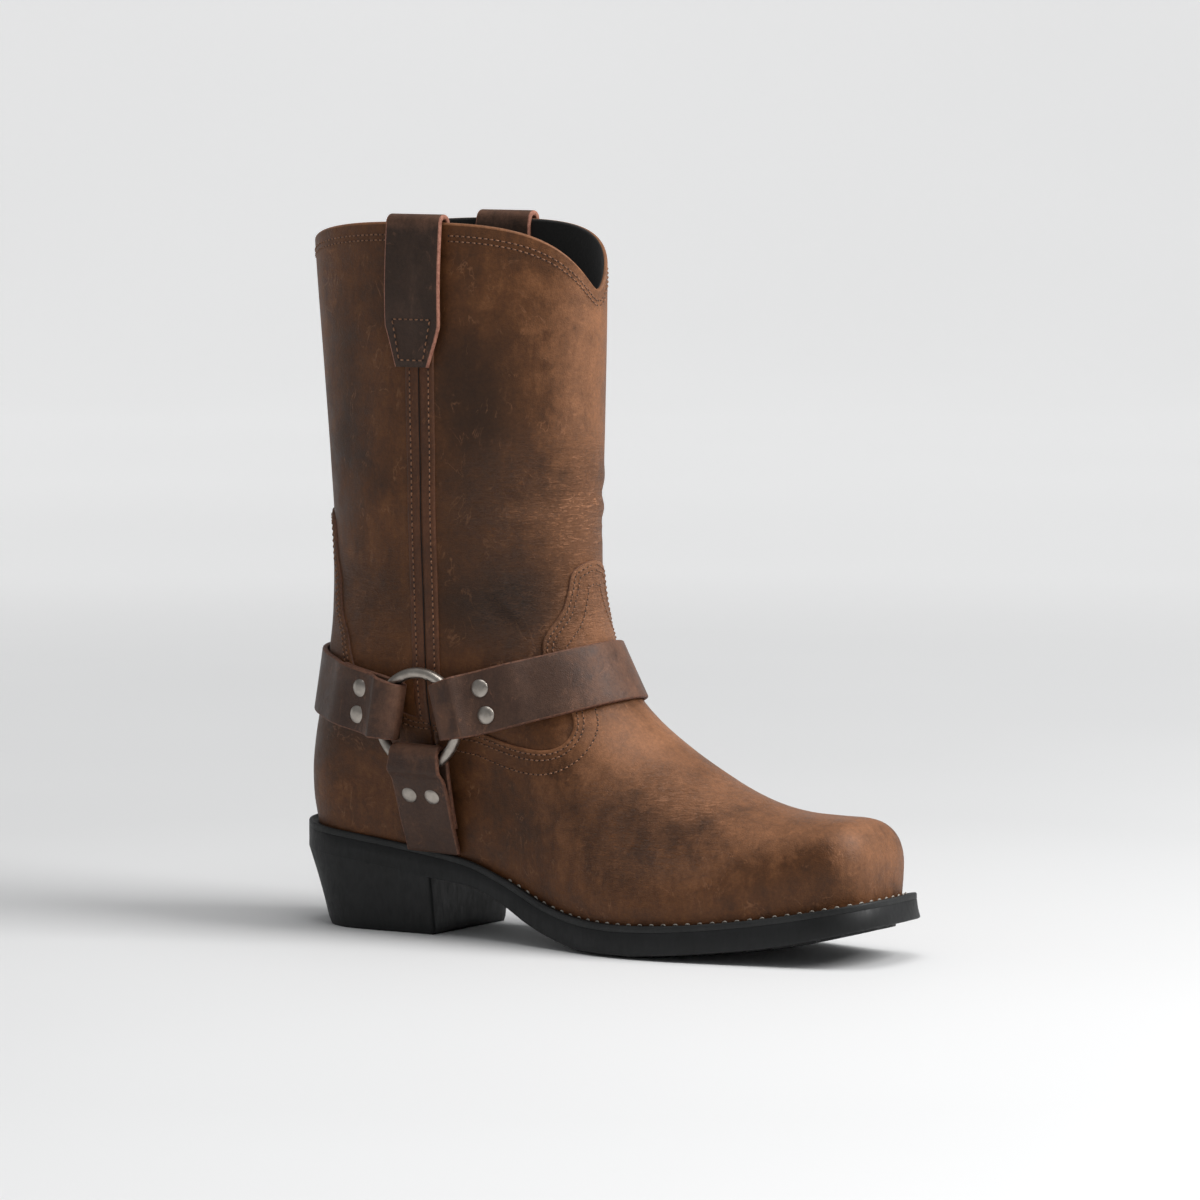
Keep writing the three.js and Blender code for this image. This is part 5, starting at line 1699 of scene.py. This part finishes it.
rise = lambda x: smoothstep(heel_breast + 6, heel_breast + 30, x)
edge_low = lambda x: underside(x) + edge_lift * rise(x)
edge_top = lambda x: seat(x) - welt_thickness - 0.02
flare = lambda x: -1.5 * smoothstep(0.5 * sole_length, 0.95 * sole_length, x)
sole_rows = [
    (lambda x: 6 + 0 * x, edge_low),
    (lambda x: flare(x) + 0.9 * rise(x), edge_low),
    (lambda x: flare(x) + 0.25 * rise(x), lambda x: edge_low(x) + 0.25),
    (flare, lambda x: edge_low(x) + 0.9),
    (lambda x: 0.4 * flare(x), lambda x: mix(edge_low(x), edge_top(x), 0.5)),
    (lambda x: 0 * x, lambda x: edge_top(x) - 0.12),
    (lambda x: 0.12 + 0 * x, edge_top),
]
swept("outsole_edge", sole_rows, [sole_rubber], "outsole")


def tread_lugs():
    """Bars of tread under the forefoot, parted by grooves."""
    start = tread_start * sole_length
    end = sole_length - tread_border
    count = round((end - start) / tread_pitch)
    grooves = [mix(start, end, (i + 0.5) / count) for i in range(count)]
    edges = [start] + [g for groove in grooves for g in (groove - tread_groove_width / 2, groove + tread_groove_width / 2)]
    edges.append(end)
    points = []
    faces = []
    for low, high in zip(edges[::2], edges[1::2]):
        xs = np.linspace(low, high, 5)
        u = np.linspace(-1, 1, 15)
        bar = []
        for inset, depth in ((0, 1.2), (0, 0.35), (0.35, 0)):
            row_x = np.clip(xs, low + inset, high - inset)
            y = np.where(
                u[None] < 0,
                plan_half(row_x, -1, tread_border + inset, tread_border, tread_border)[:, None],
                plan_half(row_x, 1, tread_border + inset, tread_border, tread_border)[:, None],
            )
            base = underside(row_x) if depth == 0 else underside(row_x) + depth * tread_height
            base = underside(row_x) + (tread_height + 1 if depth == 1.2 else depth)
            bar.append(np.stack([row_x[:, None] + 0 * u, y * u, base[:, None] + 0 * u], axis=-1))
        grid = bar[2]
        first = len(points)
        loops = []
        for layer_grid in bar:
            top = layer_grid[0, :]
            right = layer_grid[1:, -1]
            bottom = layer_grid[-1, -2::-1]
            left = layer_grid[-2:0:-1, 0]
            loops.append(np.concatenate([top, right, bottom, left]))
        n = len(loops[0])
        for loop in loops:
            points.extend(loop)
        for k in range(2):
            for i in range(n):
                j = (i + 1) % n
                faces.append([first + k * n + i, first + (k + 1) * n + i, first + (k + 1) * n + j, first + k * n + j])
        base = len(points)
        points.extend(grid.reshape(-1, 3))
        rows_count, columns = grid.shape[:2]
        faces.extend((grid_faces(rows_count, columns) + base).tolist())
    add_mesh("forefoot_tread", np.array(points), faces, [sole_rubber], smooth=False)


tread_lugs()


def heel_stack():
    """The heel block: undercut at the back, its breast curved, with grooves across its tread."""
    t = np.linspace(0, 1, 60)
    x = heel_breast * t * t
    loops = []
    levels = np.linspace(0, 1, 12)
    for share in levels:
        half = []
        for side in (-1, 1):
            y = side * plan_half(x, side, 0, 0, 0)
            low_x = mix(heel_undercut, heel_breast, x / heel_breast)
            low_y = y * heel_base_width / heel_width
            px, py = mix(low_x, x, share), mix(low_y, y, share)
            pull = 1.0 * math.sin(share * math.pi)
            px = px + pull * (1 - t)
            line = np.stack([px, py], axis=1)
            half.append(spread(line, 60, 14))
        breast_a, breast_b = half[0][-1], half[1][-1]
        across = np.linspace(0, 1, 21)[1:-1, None]
        breast = mix(breast_a[None], breast_b[None], across)
        breast[:, 0] -= 2.2 * np.sin(across[:, 0] * math.pi)
        loops.append(np.concatenate([half[0], breast, half[1][::-1][:-1]]))
    points = []
    for share, loop in zip(levels, loops):
        top = np.minimum(underside(loop[:, 0]) + 0.1, heel_seat_height)
        inset = 0.5 * (1 - min(share / 0.04, 1))
        middle = np.array([heel_breast / 2, 0])
        loop = loop - inset * unit(loop - middle)
        points.append(np.column_stack([loop, share * top]))
    points = np.array(points)
    columns = points.shape[1]
    faces = [list(f) for f in grid_faces(len(levels), columns, closed=True)]
    made = add_mesh("heel_stack", points.reshape(-1, 3), faces, [sole_rubber])
    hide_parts("heel")
    bottom = points[0]
    n_side = 61
    lateral = bottom[:n_side]
    medial = np.concatenate([bottom[:1], bottom[:-n_side:-1]])
    medial = medial[: n_side]
    first = heel_undercut + tread_border
    last = heel_breast - tread_border
    count = round((last - first) / tread_pitch)
    grooves = [mix(first, last, (i + 0.5) / count) for i in range(count)]
    xs = [bottom[:, 0].min() + 0.02]
    for groove in grooves:
        xs += [groove - tread_groove_width / 2, groove + tread_groove_width / 2]
    xs.append(heel_breast)
    patch_points = []
    patch_faces = []
    for k, (low, high) in enumerate(zip(xs[:-1], xs[1:])):
        depth = tread_groove_depth if k % 2 else 0
        rows = np.linspace(low, high, 7)
        lat = np.interp(rows, lateral[:, 0], lateral[:, 1])
        med = np.interp(rows, medial[:, 0], medial[:, 1])
        base = len(patch_points)
        for r, a, b in zip(rows, lat, med):
            patch_points += [(r, a, depth), (r, b, depth)]
        for i in range(6):
            p = base + 2 * i
            patch_faces.append([p, p + 1, p + 3, p + 2])
        if k:
            patch_faces.append([base, base - 2, base - 1, base + 1])
    tread = add_mesh("heel_tread", np.array(patch_points), patch_faces, [sole_rubber], smooth=False)
    return made, tread


heel_stack()

welt_sewing = Sewing("welt_stitching", grey_thread, "sole_rubber", 5.8, 0.4, 0.42)
welt_path = plan_loop(lambda x: ledge(x) * 0.62 + 0.2, 3.0, 4.6, 800)
fore_path = welt_path[welt_path[:, 0] > 0.4 * sole_length]
start = int(np.argmin(np.abs(welt_path[:400, 0] - 0.4 * sole_length)))
stop = 800 - int(np.argmin(np.abs(welt_path[:399:-1, 0] - 0.4 * sole_length)))
fore_path = welt_path[start:stop]
fore_path = np.column_stack([fore_path, seat(fore_path[:, 0]) + 0.12])
welt_sewing.row(fore_path, lambda points: np.tile([0, 0, 1.0], (len(points), 1)))
welt_sewing.finish()


# The insole keeps its own shape.
for packed, finish in (("insole", insole_leather),):
    packed_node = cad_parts[packed]
    packed_node.data.materials.clear()
    packed_node.data.materials.append(finish)


# Floor, light and camera
def studio():
    floor_finish, shader = material("pale_studio_floor")
    place = node(floor_finish, "ShaderNodeTexCoord").outputs["Object"]
    tint = noise(floor_finish, place, 900, 2)
    connect(floor_finish, shader, Base_Color=ramp(floor_finish, tint, (0.3, "#dcdcdc"), (0.7, "#e2e2e2")))
    connect(floor_finish, shader, Roughness=0.75, IOR=1.45)
    away_from_boot = node(floor_finish, "ShaderNodeVectorMath", {"operation": "LENGTH"}, i0=place).outputs["Value"]
    reach = maths(floor_finish, "MULTIPLY", away_from_boot, 0.1)
    glow = ramp(floor_finish, reach, (0.05, 0.0), (0.12, 0.15), (0.2, 0.36), (0.3, 0.44))
    connect(floor_finish, shader, Emission_Color=colour("#ffffff"), Emission_Strength=glow)
    profile = [(-30.0, 0.0), (3.9, 0.0)]
    profile += [(3.9 + 1.4 * math.sin(a), 1.4 - 1.4 * math.cos(a)) for a in np.linspace(0.1, math.pi / 2, 14)]
    profile += [(5.3, 2.2)]
    turn = math.radians(33)
    away = np.array([-math.sin(turn), math.cos(turn), 0])
    right = np.array([math.cos(turn), math.sin(turn), 0])
    points = []
    for reach, height in profile:
        for width in (-30, 30):
            points.append(1000 * (away * reach + right * width) + np.array([0, 0, 1000 * height]) + origin)
    faces = [[2 * i, 2 * i + 1, 2 * i + 3, 2 * i + 2] for i in range(len(profile) - 1)]
    mesh = bpy.data.meshes.new("studio_sweep")
    mesh.from_pydata(to_row(points).tolist(), [], faces)
    mesh.polygons.foreach_set("use_smooth", [True] * len(mesh.polygons))
    sweep = bpy.data.objects.new("studio_sweep", mesh)
    bpy.context.scene.collection.objects.link(sweep)
    mesh.materials.append(floor_finish)


def soft_box(name, place, aim, width, height, power, tint="#ffffff"):
    light = bpy.data.lights.new(name, "AREA")
    light.shape = "RECTANGLE"
    light.size = width
    light.size_y = height
    light.energy = power
    light.color = colour(tint)[:3]
    lamp = bpy.data.objects.new(name, light)
    lamp.location = place
    lamp.rotation_euler = (Vector(aim) - Vector(place)).to_track_quat("-Z", "Y").to_euler()
    bpy.context.scene.collection.objects.link(lamp)


def view_from(azimuth, elevation, reach):
    a, e = math.radians(azimuth), math.radians(elevation)
    return Vector((math.sin(a) * math.cos(e), -math.cos(a) * math.cos(e), math.sin(e))) * reach


studio()
boot_middle = Vector((0.0, 0.0, 0.14))
soft_box("key_softbox", boot_middle + view_from(100, 38, 1.9), boot_middle, 1.0, 1.0, 33)
soft_box("overhead_softbox", boot_middle + view_from(70, 78, 2.1), boot_middle, 1.4, 1.4, 22)

world = bpy.data.worlds.new("pale_studio")
world.use_nodes = True
world.node_tree.nodes["Background"].inputs["Color"].default_value = colour("#f2f4f6")
world.node_tree.nodes["Background"].inputs["Strength"].default_value = 0.3
bpy.context.scene.world = world
bpy.context.scene.view_settings.view_transform = "Standard"

camera = bpy.data.cameras.new("camera")
camera.lens = 209.0
camera.sensor_width = 36
camera.clip_end = 60
camera_rig = bpy.data.objects.new("camera", camera)
target = Vector((-0.0015, -origin[1] / 1000, 0.156))
camera_rig.location = target + view_from(33, 5, 3.18)
camera_rig.rotation_euler = view_from(33, 5, 1).to_track_quat("Z", "Y").to_euler()
bpy.context.scene.collection.objects.link(camera_rig)
bpy.context.scene.camera = camera_rig
